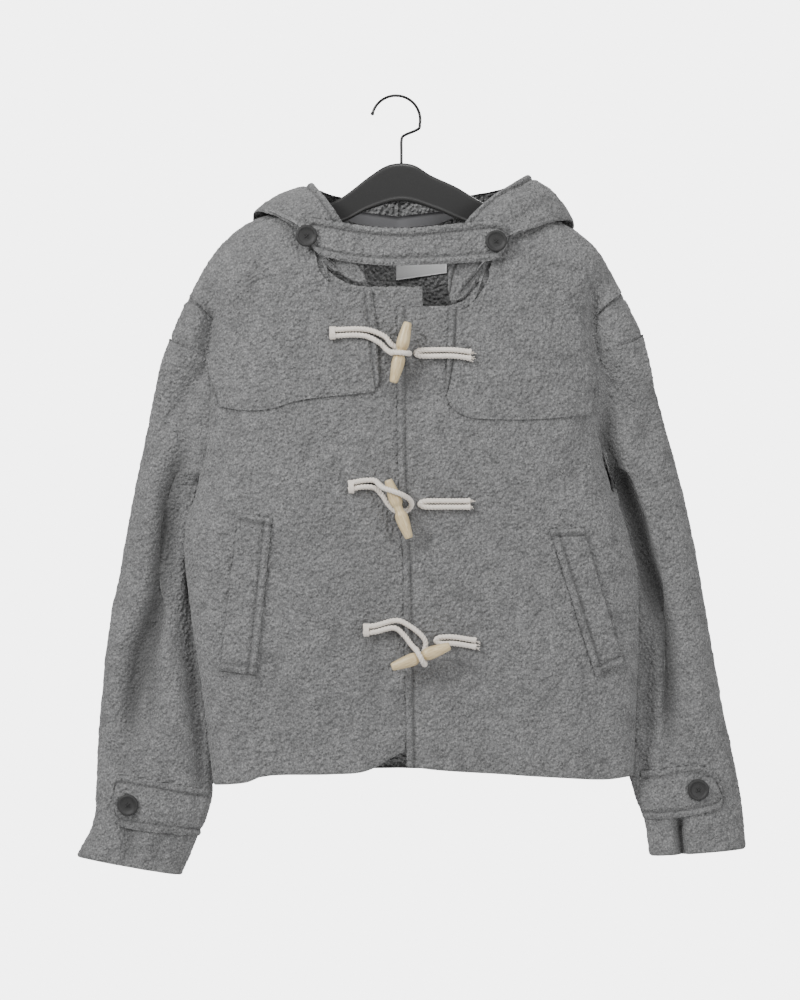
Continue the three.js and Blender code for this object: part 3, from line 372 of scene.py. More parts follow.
def make_black(name, tone, roughness, scale, amount, bump_strength):
    material, tree, shader = new_material(name)
    grain = use_group(tree, FLECKS, Scale=scale, Amount=amount)
    grain.inputs["Color"].default_value = grey(tone, 0.01)
    grain.inputs["Dark"].default_value = grey(tone * 0.7)
    grain.inputs["Light"].default_value = grey(tone * 1.5)
    tree.links.new(grain.outputs["Color"], shader.inputs["Base Color"])
    bump = node(tree, "ShaderNodeBump", {"Strength": bump_strength, "Distance": 0.0002})
    tree.links.new(grain.outputs["Height"], bump.inputs["Height"])
    tree.links.new(bump.outputs["Normal"], shader.inputs["Normal"])
    shader.inputs["Roughness"].default_value = roughness
    return material


COTTON = make_cotton()
TOGGLE_WOOD = make_toggle_wood()
BUTTON_BLACK = make_black("matt_black_button", 0.018, 0.55, 900.0, 0.4, 0.2)
HANGER_BLACK = make_black("charcoal_hanger", 0.024, 0.36, 700.0, 0.3, 0.12)
WIRE_BLACK = make_black("black_hook_wire", 0.010, 0.25, 1200.0, 0.2, 0.05)
print("small parts:", COTTON.name, TOGGLE_WOOD.name, BUTTON_BLACK.name, HANGER_BLACK.name, WIRE_BLACK.name)

# %% [markdown]
# The coat's form. These are the tables that the solids were built from, in millimetres. A smooth
# curve goes through each table, so the same few rows give the coarse solids and the fine shells.

# %% Sizes of the body
CLOTH = 2.6
SATIN_CLOTH = 1.0
SEAM = 0.3
FLAP = 2.4
LAPPED, LAP_WIDTH = 3.6, 62.0
ALLOWANCE = 4.0  # of the sleeve's seams, which tuck under their neighbours
ROLL, CAP_ROLL, CAP_DEPTH = 78.0, 62.0, 27.0
SIDE_Y, FRONT_POWER = -8.0, 6
FOLD_TOP, UNDERARM = -240.0, -430.0
BACK_NECK = -141.0
FOLD_DIP, BACK_FOLD_DIP = 0.45, 0.3
UNDER_SIDE_Y = 15
BLEND = 5
DEPTH_ROWS = {
    "z": [-100, -200, -350, -450, -600, -745], "front": [42, 47, 50, 50, 46, 42],
    "back": [30, 36, 40, 40, 38, 35],
}
EDGE_ROWS = {
    "z": [-130, -170, -190, -215, -240, -286, -350, -391, -430, -455, -480, -510, -568, -634, -700, -745],
    "left": [300, 262, 228, 206, 199, 204, 206, 211, 219, 228.5, 231.5, 230, 223, 213, 205, 200],
    "right": [300, 270, 242, 217, 209, 213, 216.5, 222, 233, 244, 251, 259, 261, 259, 257, 254.5],
}
SHOULDER_ROWS = {
    "left": [(0, -100), (60, -106), (92, -112), (125, -121), (157, -132), (187, -154), (208, -181),
             (218, -200),
             (229, -221), (239, -244), (246, -261)],
    "right": [(0, -100), (60, -105), (104, -112), (150, -123), (190, -142), (217, -165.5), (232, -192),
              (245.5, -218), (256, -240), (264, -257)],
}
NECK = {
    "left": [(-29, -207), (-52, -204), (-74, -190), (-86, -168), (-91, -141), (-93, -112)],
    "right": [(52, -228), (69, -222), (87, -201), (98, -176), (103, -147), (105, -112)],
}
BAND = {
    "left": {"upper": [(-229, -221), (-199, -240)], "lower": [(-246, -261), (-204, -286)]},
    "right": {"upper": [(245.5, -218), (209, -240)], "lower": [(264, -257), (213, -283)]},
}
HEM = {
    "left": [(30, -698), (7, -704), (-33, -725), (-70, -729), (-143, -731), (-163, -738), (-200, -742)],
    "right": [(9, -720), (47, -724.5), (113, -729), (179, -733), (223, -735), (254.5, -732)],
}
CENTRE = {
    "left": [(26, -207), (30, -400), (30, -698)],
    "right": [(-1, -228), (0, -397), (5, -502), (6, -553), (9, -700), (9, -720)],
}
# Large soft troughs of the fronts: from, to, half width, depth.
TROUGHS = [
    ((-150, -420), (-120, -735), 26, 4), ((-60, -520), (-75, -740), 22, 3.5),
    ((90, -500), (105, -740), 24, 4),
    ((205, -470), (228, -735), 18, 3), ((150, -175), (192, -290), 16, 4),
    ((-130, -180), (-182, -290), 16, 4),
]


# %% [markdown]
# A pattern cutter draws with a bent rule through marked points. The curve below does the same: it
# passes through each row of a table and leaves it in the direction of its neighbours. Blender's own
# curve objects could do it too, but here the same rule has to give the solids and the shells alike.

# %% Curves through tables
def read(keys, values, at):
    keys, values = np.asarray(keys, float), np.asarray(values, float)
    if keys[0] > keys[-1]:
        keys, values = keys[::-1], values[::-1]
    flat = values.ndim == 1
    values = values.reshape(len(keys), -1)
    at = np.asarray(at, float)
    slopes = np.empty_like(values)
    slopes[1:-1] = (values[2:] - values[:-2]) / (keys[2:] - keys[:-2])[:, None]
    slopes[0] = (values[1] - values[0]) / (keys[1] - keys[0])
    slopes[-1] = (values[-1] - values[-2]) / (keys[-1] - keys[-2])
    k = np.clip(np.searchsorted(keys, at, side="left") - 1, 0, len(keys) - 2)
    h = (keys[k + 1] - keys[k])[..., None]
    t = np.clip((at - keys[k])[..., None] / h, 0, 1)
    a, b = (1 + 2 * t) * (1 - t) ** 2, t * t * (3 - 2 * t)
    out = a * values[k] + b * values[k + 1] + t * (1 - t) * h * ((1 - t) * slopes[k] - t * slopes[k + 1])
    return out[..., 0] if flat else out


def route(points):
    points = np.asarray(points, float)
    reach = np.concatenate([[0], np.cumsum(np.linalg.norm(np.diff(points, axis=0), axis=1))])

    def follow(t):
        return read(reach / reach[-1], points, t)

    follow.total = reach[-1]
    follow.corners = [0.0, 1.0]
    return follow


def joined(parts):
    starts = np.concatenate([[0], np.cumsum([part.total for part in parts])])

    def follow(t):
        rest = np.asarray(t, float) * starts[-1]
        k = np.clip(np.searchsorted(starts, rest, side="left") - 1, 0, len(parts) - 1)
        out = np.zeros(rest.shape + (2,))
        for i, part in enumerate(parts):
            pick = k == i
            out[pick] = part(np.minimum(1, (rest[pick] - starts[i]) / part.total))
        return out

    follow.total = starts[-1]
    follow.corners = list(starts / starts[-1])
    return follow


def smooth_step(a, b, x):
    t = np.clip((np.asarray(x, float) - a) / (b - a), 0, 1)
    return t * t * (3 - 2 * t)


def rounding(d, over):
    return np.sqrt(np.maximum(0, 1 - (1 - np.clip(d / over, 0, 1)) ** 2))


def mix(a, b, t):
    return a + (b - a) * t


print("half width at the underarm:", read(EDGE_ROWS["z"], EDGE_ROWS["left"], UNDERARM))


# %% [markdown]
# Seen from in front, every place on the coat has an x and a z. How far the cloth stands out there,
# in front and at the back, is a rule: it rounds in from the shoulder seam, swells over the chest and
# turns in at the sides. Sculpting by hand would be quicker to start, but a rule lets yokes, welts and
# cords lie on the cloth exactly.

# %% Depth of the coat at any place
def edge_at(x, z):
    left = read(EDGE_ROWS["z"], EDGE_ROWS["left"], z)
    return np.where(x < 0, left, read(EDGE_ROWS["z"], EDGE_ROWS["right"], z))


def shoulder_at(x):
    def of(side):
        rows = np.array(SHOULDER_ROWS[side], float)
        return read(rows[:, 0], rows[:, 1], np.abs(x))

    return np.where(np.asarray(x) < 0, of("left"), of("right"))


def along_line(x, z, start, end):
    dx, dz = end[0] - start[0], end[1] - start[1]
    along = ((x - start[0]) * dx + (z - start[1]) * dz) / (dx * dx + dz * dz)
    return along, np.hypot(x - start[0] - along * dx, z - start[1] - along * dz)


def troughs(x, z):
    total = 0
    for start, end, width, depth in TROUGHS:
        along, off = along_line(x, z, start, end)
        fade = smooth_step(-0.25, 0.35, along) * (1 - smooth_step(1, 1.5, along))
        total = total + depth * fade * np.exp(-((off / width) ** 2))
    return total


def front_depth(x, z):
    edge = edge_at(x, z)
    t = np.minimum(1, np.abs(x) / edge)
    below = shoulder_at(x) - z
    swell = np.sqrt(np.maximum(0, 1 - t**FRONT_POWER))
    middle = -SIDE_Y + (read(DEPTH_ROWS["z"], DEPTH_ROWS["front"], z) + SIDE_Y) * swell
    body = (middle - troughs(x, z) * (1 - t**8)) * rounding(below, ROLL)
    near = np.exp(-(((np.abs(x) - edge) / 11) ** 2)) * smooth_step(-190, -250, z)
    cap = CAP_DEPTH * rounding(below, CAP_ROLL) * (1 - FOLD_DIP * near) * (1 - smooth_step(-370, UNDERARM,
                                                                                           z))
    gap = np.minimum(BLEND, np.abs(body - cap))
    return np.maximum(body, cap) + ((BLEND - gap) ** 2 / (4 * BLEND)) * rounding(below, 20) * (1 - t**12)


def back_depth(x, z):
    edge = edge_at(x, z)
    t = np.minimum(1, np.abs(x) / edge)
    under = smooth_step(UNDERARM + 20, UNDERARM + 88, z)
    side = mix(SIDE_Y, UNDER_SIDE_Y, under)
    shape = mix(1 - t * t, np.sqrt(np.maximum(0, 1 - t**4)), under)
    below = shoulder_at(x) - z
    body = (side + (read(DEPTH_ROWS["z"], DEPTH_ROWS["back"], z) - side) * shape) * rounding(below, ROLL)
    near = np.exp(-(((np.abs(x) - edge) / 14) ** 2)) * smooth_step(-190, -250, z)
    cap = (CAP_DEPTH - 3) * rounding(below, CAP_ROLL) * (1 - BACK_FOLD_DIP * near)
    return np.maximum(body, cap - 60 * smooth_step(-350, UNDERARM, z))


def lap(x):
    return LAPPED * (1 - smooth_step(LAP_WIDTH * 0.55, LAP_WIDTH + 20, x))


print("front depth at the chest:", round(float(front_depth(np.array(60.0), np.array(-350.0))), 1), "mm")

# %% [markdown]
# A shell is a grid of points on the outside of a piece of cloth. The pile lifts and sinks those
# points, a free edge rolls in like a turned edge, and topstitching pulls a soft channel beside it.
# The inner side is a coarser, smooth copy, and the rim closes the two, so each piece is a closed
# thin wall as real cloth is.


# %% Pile relief
def hashed(cells, seed):
    n = cells[..., 0] * 73856093 ^ cells[..., 1] * 19349663 ^ cells[..., 2] * 83492791 ^ (seed * 2654435761)
    n = (n ^ (n >> 13)) * 1274126177
    return ((n ^ (n >> 16)) & 0xFFFF) / 65535.0


def lumps(points, size, seed):
    """Smooth lumps of about one size at places in space, from -1 to 1."""
    p = points / size
    base = np.floor(p).astype(np.int64)
    f = p - base
    f = f * f * (3 - 2 * f)
    total = 0
    for dx in (0, 1):
        for dy in (0, 1):
            for dz in (0, 1):
                weight = (f[..., 0] if dx else 1 - f[..., 0]) * (f[..., 1] if dy else 1 - f[..., 1])
                weight = weight * (f[..., 2] if dz else 1 - f[..., 2])
                total = total + weight * hashed(base + np.array([dx, dy, dz]), seed)
    return total * 2 - 1


def pile(points):
    """Height of the looped pile: curls of 3 mm in loose clumps."""
    curls = lumps(points, 3.0, 3)
    return 0.85 * np.abs(curls) - 0.3 + 0.40 * lumps(points, 4.6, 5) + 0.35 * lumps(points, 11.0, 7)


# %% [markdown]
# Every cloth piece comes from one builder. A Solidify modifier on a plain grid would give the wall
# as well, but not a rolled edge, a stitched channel or a finer outside than inside, so the vertices
# are placed one by one.

# %% The shell builder
PIECES = []
STITCH_DEPTH, STITCH_WIDTH = 1.9, 1.9
EDGE_SWELL = 1.0
# Crease depth in mm that sets how fast the painted shade in a crease grows.
SHADED_DEPTH = 17.0
# Painted shade on the wool's colour: a base amount, between curls, in stitching and in a crease.
REST_SHADE, CURL_SHADE, STITCH_SHADE, CREASE_SHADE = 0.16, 0.42, 0.62, 0.72


def directions(points, out):
    du = np.empty_like(points)
    dv = np.empty_like(points)
    du[:, 1:-1] = points[:, 2:] - points[:, :-2]
    du[:, 0], du[:, -1] = points[:, 1] - points[:, 0], points[:, -1] - points[:, -2]
    dv[1:-1] = points[2:] - points[:-2]
    dv[0], dv[-1] = points[1] - points[0], points[-1] - points[-2]
    n = np.cross(dv, du)
    n /= np.linalg.norm(n, axis=2, keepdims=True) + 1e-9
    turn = np.sign((n * out).sum())
    return n * turn, turn


def border_distances(points):
    """Distance over the cloth from each of the four sides, as top, bottom, start, end."""
    across = np.linalg.norm(np.diff(points, axis=1), axis=2)
    down = np.linalg.norm(np.diff(points, axis=0), axis=2)
    start = np.concatenate([np.zeros((len(points), 1)), np.cumsum(across, axis=1)], axis=1)
    top = np.concatenate([np.zeros((1, points.shape[1])), np.cumsum(down, axis=0)], axis=0)
    return {"top": top, "bottom": top[-1:] - top, "start": start, "end": start[:, -1:] - start}


def rim_and_sides(rows, cols, coarse, offset):
    """Faces that join the fine outside to the inner side, which has every coarse-th point."""
    crows, ccols = (rows - 1) // coarse + 1, (cols - 1) // coarse + 1

    def o(i, j):
        return i * cols + j

    def n(i, j):
        return offset + (i // coarse) * ccols + j // coarse

    faces = []
    loops = [
        [(0, j) for j in range(cols)], [(i, cols - 1) for i in range(rows)],
        [(rows - 1, j) for j in range(cols - 1, -1, -1)], [(i, 0) for i in range(rows - 1, -1, -1)],
    ]
    for loop in loops:
        for k in range(0, len(loop) - 1, coarse):
            part = loop[k:k + coarse + 1]
            faces.append([n(*part[0]), n(*part[-1])] + [o(*p) for p in reversed(part)])
    return faces, crows, ccols


def mesh_object(name, verts, faces, material, smooth=True):
    mesh = bpy.data.meshes.new(name)
    mesh.from_pydata(verts, [], faces)
    mesh.update()
    if smooth:
        mesh.polygons.foreach_set("use_smooth", [True] * len(mesh.polygons))
    mesh.materials.append(material)
    thing = bpy.data.objects.new(name, mesh)
    bpy.context.scene.collection.objects.link(thing)
    PIECES.append(thing)
    return thing


def shell(name, points, thick, out, material=None, lift=0.0, relief=1.0, roll=2.4,
          free=("top", "bottom", "start", "end"), stitched=(), dents=None, square=(), coarse=2):
    """A closed thin wall from the outside points of a piece, in millimetres."""
    n, turn = directions(points, out)
    sides = border_distances(points)
    for side in square:
        n[..., 1] *= 1 - np.exp(-((sides[side] / 6) ** 2))
    n /= np.linalg.norm(n, axis=2, keepdims=True) + 1e-9
    base = points + n * lift
    height = relief * pile(base)
    # Painted shade between the curls of the pile, and a little everywhere.
    painted_shade = np.clip(REST_SHADE - CURL_SHADE * height, 0, CURL_SHADE)
    for side in free:
        d = np.clip(sides[side] / roll, 0, 1)
        height = height - (thick * 0.72) * (1 - np.sqrt(1 - (1 - d) ** 2))
    for side, distance in stitched:
        groove = np.exp(-(((sides[side] - distance) / STITCH_WIDTH) ** 2))
        # Painted shade along the stitching groove.
        painted_shade = np.maximum(painted_shade, STITCH_SHADE * groove)
        height = height - STITCH_DEPTH * groove
        height = height + EDGE_SWELL * np.exp(-(((sides[side] - distance * 0.5) / (distance * 0.35)) ** 2))
    if dents is not None:
        height = height - dents(base)
        # Painted shade deep in a crease.
        painted_shade = np.maximum(painted_shade, np.clip(dents(base) / SHADED_DEPTH, 0, CREASE_SHADE))
    outer = base + n * height[..., None]
    soft = dents(base)[::coarse, ::coarse, None] if dents is not None else 0
    inner = (base - n * thick)[::coarse, ::coarse] - n[::coarse, ::coarse] * soft
    rows, cols = points.shape[:2]
    offset = rows * cols
    rim, crows, ccols = rim_and_sides(rows, cols, coarse, offset)
    quads = grid_faces(rows, cols, 0, False) + grid_faces(crows, ccols, offset, True) + rim
    if turn < 0:
        quads = [face[::-1] for face in quads]
    verts = np.concatenate([outer.reshape(-1, 3), inner.reshape(-1, 3)]) * MM
    made = mesh_object(name, verts.tolist(), quads, material or WOOL)
    # The painted shade is stored on the outside points; the inner side gets none.
    depths = np.zeros(len(verts), np.float32)
    depths[:offset] = painted_shade.ravel()
    made.data.attributes.new("painted_shade", "FLOAT", "POINT").data.foreach_set("value", depths)
    return made


def put_in_place(piece, node_name):
    """A finished piece stands for its solid, which is hidden, and hangs on the one body."""
    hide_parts(node_name)
    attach(piece, "root")


def grid_faces(rows, cols, offset, flip):
    i, j = np.meshgrid(np.arange(rows - 1), np.arange(cols - 1), indexing="ij")
    a = (offset + i * cols + j).ravel()
    quads = np.stack([a, a + cols, a + cols + 1, a + 1], axis=1)
    if flip:
        quads = quads[:, ::-1]
    return quads.tolist()


def places(length, step, corners=(0.0, 1.0)):
    """Places from 0 to 1 that pass through each corner, an even number of steps about `step` apart."""
    out = [np.array([0.0])]
    for a, b in zip(corners[:-1], corners[1:]):
        count = max(2, 2 * int(math.ceil((b - a) * length / step / 2)))
        out.append(np.linspace(a, b, count + 1)[1:])
    return np.concatenate(out)


def patch(top, bottom, start, end, us, vs):
    u, v = us[None, :, None], vs[:, None, None]
    ends = np.array([0.0, 1.0])
    s, e = start(ends), end(ends)
    corner = (1 - u) * (1 - v) * s[0] + u * (1 - v) * e[0] + (1 - u) * v * s[1] + u * v * e[1]
    across = (1 - v) * top(us)[None] + v * bottom(us)[None]
    down = (1 - u) * start(vs)[:, None] + u * end(vs)[:, None]
    return across + down - corner


def count_triangles():
    return {o.name: sum(len(p.vertices) - 2 for p in o.data.polygons) for o in PIECES}


print("pile height at one place:", pile(np.array([[[10.0, 20.0, 30.0]]])).round(2))

# %% [markdown]
# The two fronts and the back. Each is one patch of cloth between four edges: neckline and shoulder
# above, hem below, centre edge and armhole fold at the sides. The right front laps over the left.
# Creases are placed one by one, as soft troughs that run the way the cloth hangs, on the back too.

# %% Creases of the body
FRONT_CREASES = [
    ([(-198, -290), (-176, -360), (-150, -420)], 11, 2.4),
    ([(-40, -430), (-80, -480), (-120, -530)], 18, 2.0),
    ([(-196, -296), (-190, -325), (-184, -345)], 5, 2.2),
    ([(-110, -560), (-140, -640), (-160, -700)], 16, 2.4),
    ([(-22, -480), (-30, -570), (-24, -700)], 20, 4.2), ([(-120, -620), (-100, -735)], 20, 3.6),
    ([(58, -400), (110, -480), (170, -560)], 15, 2.6), ([(70, -470), (120, -540)], 10, 1.4),
    ([(40, -560), (52, -640), (60, -715)], 14, 1.8), ([(150, -640), (170, -730)], 16, 2.2),
    ([(208, -300), (196, -380), (176, -450)], 13, 2.6), ([(205, -190), (212, -240), (208, -300)], 9, 3.4),
    ([(-206, -190), (-200, -240), (-204, -290)], 9, 3.0), ([(240, -500), (236, -600)], 14, 2.0),
    ([(95, -260), (70, -330)], 14, 1.2), ([(-90, -225), (-110, -300)], 14, 1.2),
    ([(30, -380), (110, -400)], 12, 0.9),
]
BACK_CREASES = [
    ([(-60, -330), (-80, -440), (-95, -560)], 24, 4.0), ([(70, -330), (90, -460), (100, -600)], 26, 4.2),
    ([(0, -420), (6, -560), (10, -720)], 30, 3.4), ([(-150, -470), (-140, -600), (-130, -725)], 22, 4.4),
    ([(170, -480), (160, -600), (150, -728)], 22, 4.4),
    ([(-170, -250), (-145, -330), (-120, -420)], 18, 3.2),
    ([(180, -250), (155, -340), (130, -430)], 18, 3.2), ([(-40, -560), (-50, -725)], 16, 2.6),
    ([(60, -600), (58, -725)], 16, -2.0),
]


def creases(rows, scale=1.0):
    """Depth that creases take; each is a bent line of places (x, z), its half width and its depth."""
    def depth(points):
        x, z = points[..., 0], points[..., 2]
        total = np.zeros(x.shape)
        for line, width, deep in rows:
            line = np.array(line, float)
            spans = np.linalg.norm(np.diff(line, axis=0), axis=1)
            starts = np.concatenate([[0], np.cumsum(spans)]) / spans.sum()
            nearest = np.full(x.shape, 1e9)
            where = np.zeros(x.shape)
            for k in range(len(spans)):
                (x0, z0), (dx, dz) = line[k], line[k + 1] - line[k]
                t = np.clip(((x - x0) * dx + (z - z0) * dz) / spans[k] ** 2, 0, 1)
                off = np.hypot(x - x0 - t * dx, z - z0 - t * dz)
                closer = off < nearest
                nearest = np.where(closer, off, nearest)
                where = np.where(closer, mix(starts[k], starts[k + 1], t), where)
            fade = smooth_step(-0.02, 0.3, where) * (1 - smooth_step(0.72, 1.02, where))
            total += deep * fade * np.exp(-((nearest / width) ** 2))
        return total * scale

    return depth


def edge_route(side, bottom):
    def follow(t):
        z = mix(FOLD_TOP, bottom, np.asarray(t, float))
        return np.stack([SIGN[side] * read(EDGE_ROWS["z"], EDGE_ROWS[side], z), z], axis=-1)

    follow.total = FOLD_TOP - bottom
    follow.corners = [0.0, 1.0]
    return follow


def shoulder_route(x0, x1):
    xs = np.linspace(x0, x1, 13)
    return route(np.stack([xs, shoulder_at(xs)], axis=1))


TOWARDS_FRONT = np.array([0.0, -1.0, 0.0])
TOWARDS_BACK = np.array([0.0, 1.0, 0.0])
FRONT_STEP = 2.1
print("creases placed:", len(FRONT_CREASES), "front,", len(BACK_CREASES), "back")


# %% Fronts
def front_points(side, step=FRONT_STEP):
    centre = route(CENTRE[side])
    placket = route([centre(np.array(0.0)), NECK[side][0]])
    shoulder = shoulder_route(NECK[side][-1][0], BAND[side]["upper"][0][0])
    top = joined([placket, route(NECK[side]), shoulder])
    outer = joined([route(BAND[side]["upper"]), edge_route(side, HEM[side][-1][1])])
    us = places(top.total, step, top.corners)
    vs = places(outer.total, step, outer.corners)
    cloth = patch(top, route(HEM[side]), centre, outer, us, vs)
    x, z = cloth[..., 0], cloth[..., 1]
    seam = np.zeros_like(x)
    seam[:, -1] = SEAM / 2
    seam[0, us > top.corners[2] - 1e-9] = SEAM / 2
    proud = lap(x) if side == "right" else 0
    return np.stack([x, -(front_depth(x, z) + proud) - seam, z], axis=-1)


def make_front(side):
    points = front_points(side)
    stitched = [("start", 8.6)] if side == "right" else []
    piece = shell(f"wool_front_{side}", points, CLOTH, TOWARDS_FRONT, stitched=stitched,
                  dents=creases(FRONT_CREASES),
                  square=("end",))
    put_in_place(piece, f"front_{side}")


for side in SIGN:
    make_front(side)
print("front triangles:", count_triangles())


# %% Back
def back_half(side, step=2.6):
    sign = SIGN[side]
    neck = route([(0, BACK_NECK), (sign * 30, BACK_NECK + 3), (sign * 62, BACK_NECK + 13), NECK[side][-1]])
    top = joined([neck, shoulder_route(NECK[side][-1][0], BAND[side]["upper"][0][0])])
    outer = joined([route(BAND[side]["upper"]), edge_route(side, HEM[side][-1][1])])
    centre = route([(0, BACK_NECK), (0, -430), (0, -727)])
    hem = route([(0, -727), (sign * 90, -729), outer(np.array(1.0))])
    us = places(330, step, top.corners)
    vs = places(700, step, outer.corners)
    cloth = patch(top, hem, centre, outer, us, vs)
    x, z = cloth[..., 0], cloth[..., 1]
    seam = np.zeros_like(x)
    seam[:, -1] = SEAM / 2
    seam[0, us > top.corners[1] - 1e-9] = SEAM / 2
    return np.stack([x, back_depth(x, z) + seam, z], axis=-1)


def make_back():
    left, right = back_half("left"), back_half("right")
    rows = min(len(left), len(right))
    if len(left) != len(right):
        left, right = left[:rows], right[:rows]
    points = np.concatenate([left[:, :0:-1], right], axis=1)
    piece = shell("wool_back", points, CLOTH, TOWARDS_BACK, dents=creases(BACK_CREASES),
                  square=("start", "end"))
    put_in_place(piece, "back")


make_back()
print("back triangles:", count_triangles()["wool_back"])

# %% [markdown]
# Dropped shoulders and sleeves. The shoulder of the body runs on over the arm and ends in a seam, and
# a narrow band closes the gap to the sleeve. The sleeves are tubes in two pieces, an upper and an
# under one, that hang behind the sides of the body. A tube swept along a line can't follow their
# slanted ends, so each sleeve is a row of flattened rings, given by their two ends and two depths.

# %% Sleeve rings
SLEEVE = {
    "left": [
        (-246, -261, -219, -430, 8, 20), (-256, -292, -211, -444, 9, 24),
        (-265.5, -332, -203, -456, 13, 27),
        (-276, -380, -196, -470, 15, 28), (-288, -438, -191, -497, 16, 28),
        (-299, -500, -189, -537, 16, 28),
        (-311, -577, -190, -602, 15, 27), (-321, -651, -195, -671, 13, 26),
        (-325.5, -706, -199, -727, 11, 25),
        (-326.6, -744, -203, -765, 10, 25), (-330, -784, -218, -802, 10, 25),
        (-348, -820, -234, -841, 10, 25),
    ],
    "right": [
        (264, -257, 233, -430, 8, 20), (272, -291, 222, -444, 9, 24), (284.5, -337, 214, -458, 13, 27),
        (297, -383, 208, -474, 15, 28), (311, -436, 207, -498, 16, 28), (324, -499, 211, -537, 16, 28),
        (337, -576, 220, -602, 15, 27), (350, -651, 234, -671, 13, 26), (361, -704, 246, -720, 11, 25),
        (369, -744, 256, -753, 10, 25), (373.5, -775, 267, -784, 10, 25), (376.5, -812, 272, -820, 10, 25),
    ],
}
RING_NUMBERS = {side: np.arange(len(rows), dtype=float) for side, rows in SLEEVE.items()}
SEAM_TUCK, BAND_TUCK = 1.6, 1.9


def sleeve_at(side, along, turn):
    """A point of a sleeve: turn runs from the outer edge, 0, over the front to 1 and the back to 2."""
    along, turn = np.broadcast_arrays(np.asarray(along, float), np.asarray(turn, float))
    ring = read(RING_NUMBERS[side], np.array(SLEEVE[side], float), along)
    xo, zo, xi, zi, middle, deep = (ring[..., c] for c in range(6))
    angle = turn * math.pi
    across = (1 - np.cos(angle)) / 2
    x, z = mix(xo, xi, across), mix(zo, zi, across)
    swell = np.sign(np.sin(angle)) * np.abs(np.sin(angle)) ** 0.8
    y = middle - deep * swell
    free = smooth_step(0, 3, along)
    seam_x = mix(x, SIGN[side] * (edge_at(x, z) - ALLOWANCE), smooth_step(0, 0.15, across))
    seam_y = np.where(swell > 0, SEAM_TUCK - front_depth(seam_x, z), back_depth(seam_x, z) - SEAM_TUCK)
    start_y = mix(seam_y, y, smooth_step(0.7, 1, across))
    x, y = mix(seam_x, x, free), mix(start_y, y, free)
    inside = smooth_step(26, 9, np.abs(x) - edge_at(x, z))
    below = smooth_step(UNDERARM + 26, UNDERARM + 10, z)
    least = back_depth(x, z) + 4.5 + 11 * smooth_step(0.86, 1.14, turn)
    y = np.where(y < least, mix(y, least, inside * below), y)
    return np.stack([x, y, z], axis=-1)


print("cuff corner:", sleeve_at("left", 11.0, 0.0).round(1))


# %% Sleeves and shoulder bands
SLEEVE_CREASES = {
    "left": [
        ([(-226, -330), (-236, -390), (-247, -436), (-252, -485), (-258, -543), (-280, -600), (-289, -655),
          (-292, -735)],
         13, 11.0),
        ([(-258, -540), (-264, -610), (-266, -700)], 8, 4.5),
        ([(-222, -470), (-224, -560), (-214, -700)], 9, 5.0),
        ([(-214, -660), (-212, -715), (-208, -760)], 7, 4.0), ([(-318, -690), (-296, -735)], 9, 2.4),
        ([(-291, -770), (-290, -800), (-292, -834)], 10, 5.0), ([(-252, -795), (-262, -838)], 8, 2.6),
        ([(-300, -520), (-312, -640)], 12, -2.0), ([(-240, -620), (-244, -730)], 10, -2.4),
    ],
    "right": [
        ([(231, -280), (226, -370), (236, -412), (253, -459), (263, -504), (275, -534), (286, -570),
          (290, -623),
          (293, -683), (294, -745)], 12, 11.0),
        ([(262, -560), (268, -640), (272, -715)], 9, 3.6), ([(276, -300), (268, -400)], 13, 2.6),
        ([(318, -560), (330, -680)], 12, -2.4), ([(302, -768), (303, -795), (307, -830)], 5.0, 9.0),
        ([(335, -785), (345, -812)], 9, 2.0), ([(262, -700), (268, -745)], 6, 3.0),
    ],
}
UNDER_CREASES = {
    "left": [([(-240, -480), (-256, -600), (-270, -720)], 14, 7.0), ([(-280, -360), (-290, -500)], 14, 4.0),
             ([(-300, -700), (-276, -760)], 12, 4.0), ([(-262, -800), (-280, -835)], 9, 3.0)],
    "right": [([(256, -470), (280, -600), (300, -720)], 14, 7.0), ([(300, -360), (306, -480)], 14, 4.0),
              ([(340, -690), (316, -750)], 12, 4.0), ([(300, -780), (306, -815)], 9, 3.0)],
}


def make_sleeve(side):
    halves = {"under": (1.001, 1.999), "upper": (0.001, 0.999)}
    for name, (start, end) in halves.items():
        alongs = np.linspace(0.0, len(SLEEVE[side]) - 1, 251)[:, None]
        turns = np.linspace(start, end, 65 if name == "upper" else 57)[None]
        points = sleeve_at(side, alongs, turns)
        out = TOWARDS_FRONT if name == "upper" else TOWARDS_BACK
        piece = shell(f"wool_sleeve_{side}_{name}", points, CLOTH, out, free=("top", "bottom"),
                      dents=creases((SLEEVE_CREASES if name == "upper" else UNDER_CREASES)[side], 1.5))
        put_in_place(piece, f"sleeve_{side}_{name}")


def make_band(side):
    sign, upper, lower = SIGN[side], BAND[side]["upper"], BAND[side]["lower"]
    v = np.linspace(-0.16, 1.12, 25)[:, None]
    i = np.linspace(-1, 1, 81)[None]
    xo = sign * mix(abs(upper[0][0]), abs(lower[0][0]), v)
    zi = mix(upper[1][1], lower[1][1], v)
    xi = sign * (read(EDGE_ROWS["z"], EDGE_ROWS[side], zi) - ALLOWANCE)
    eased = 1 - np.cos(np.abs(i) * math.pi / 2)
    x, z = mix(xo, xi, eased), mix(shoulder_at(xo), zi, eased)
    y = np.where(i < 0, -front_depth(x, z), back_depth(x, z))
    y = np.where(i == 0, 0, y)
    out = np.array([sign, 0, 0.4])
    tuck = BAND_TUCK * np.maximum(1 - smooth_step(-0.05, 0.10, v), smooth_step(0.90, 1.04, v)) + 0 * x
    points = np.stack([x, y, z], axis=-1)
    n, _ = directions(points, out)
    piece = shell(f"wool_shoulder_band_{side}", points - n * tuck[..., None], CLOTH, out)
    put_in_place(piece, f"shoulder_band_{side}")


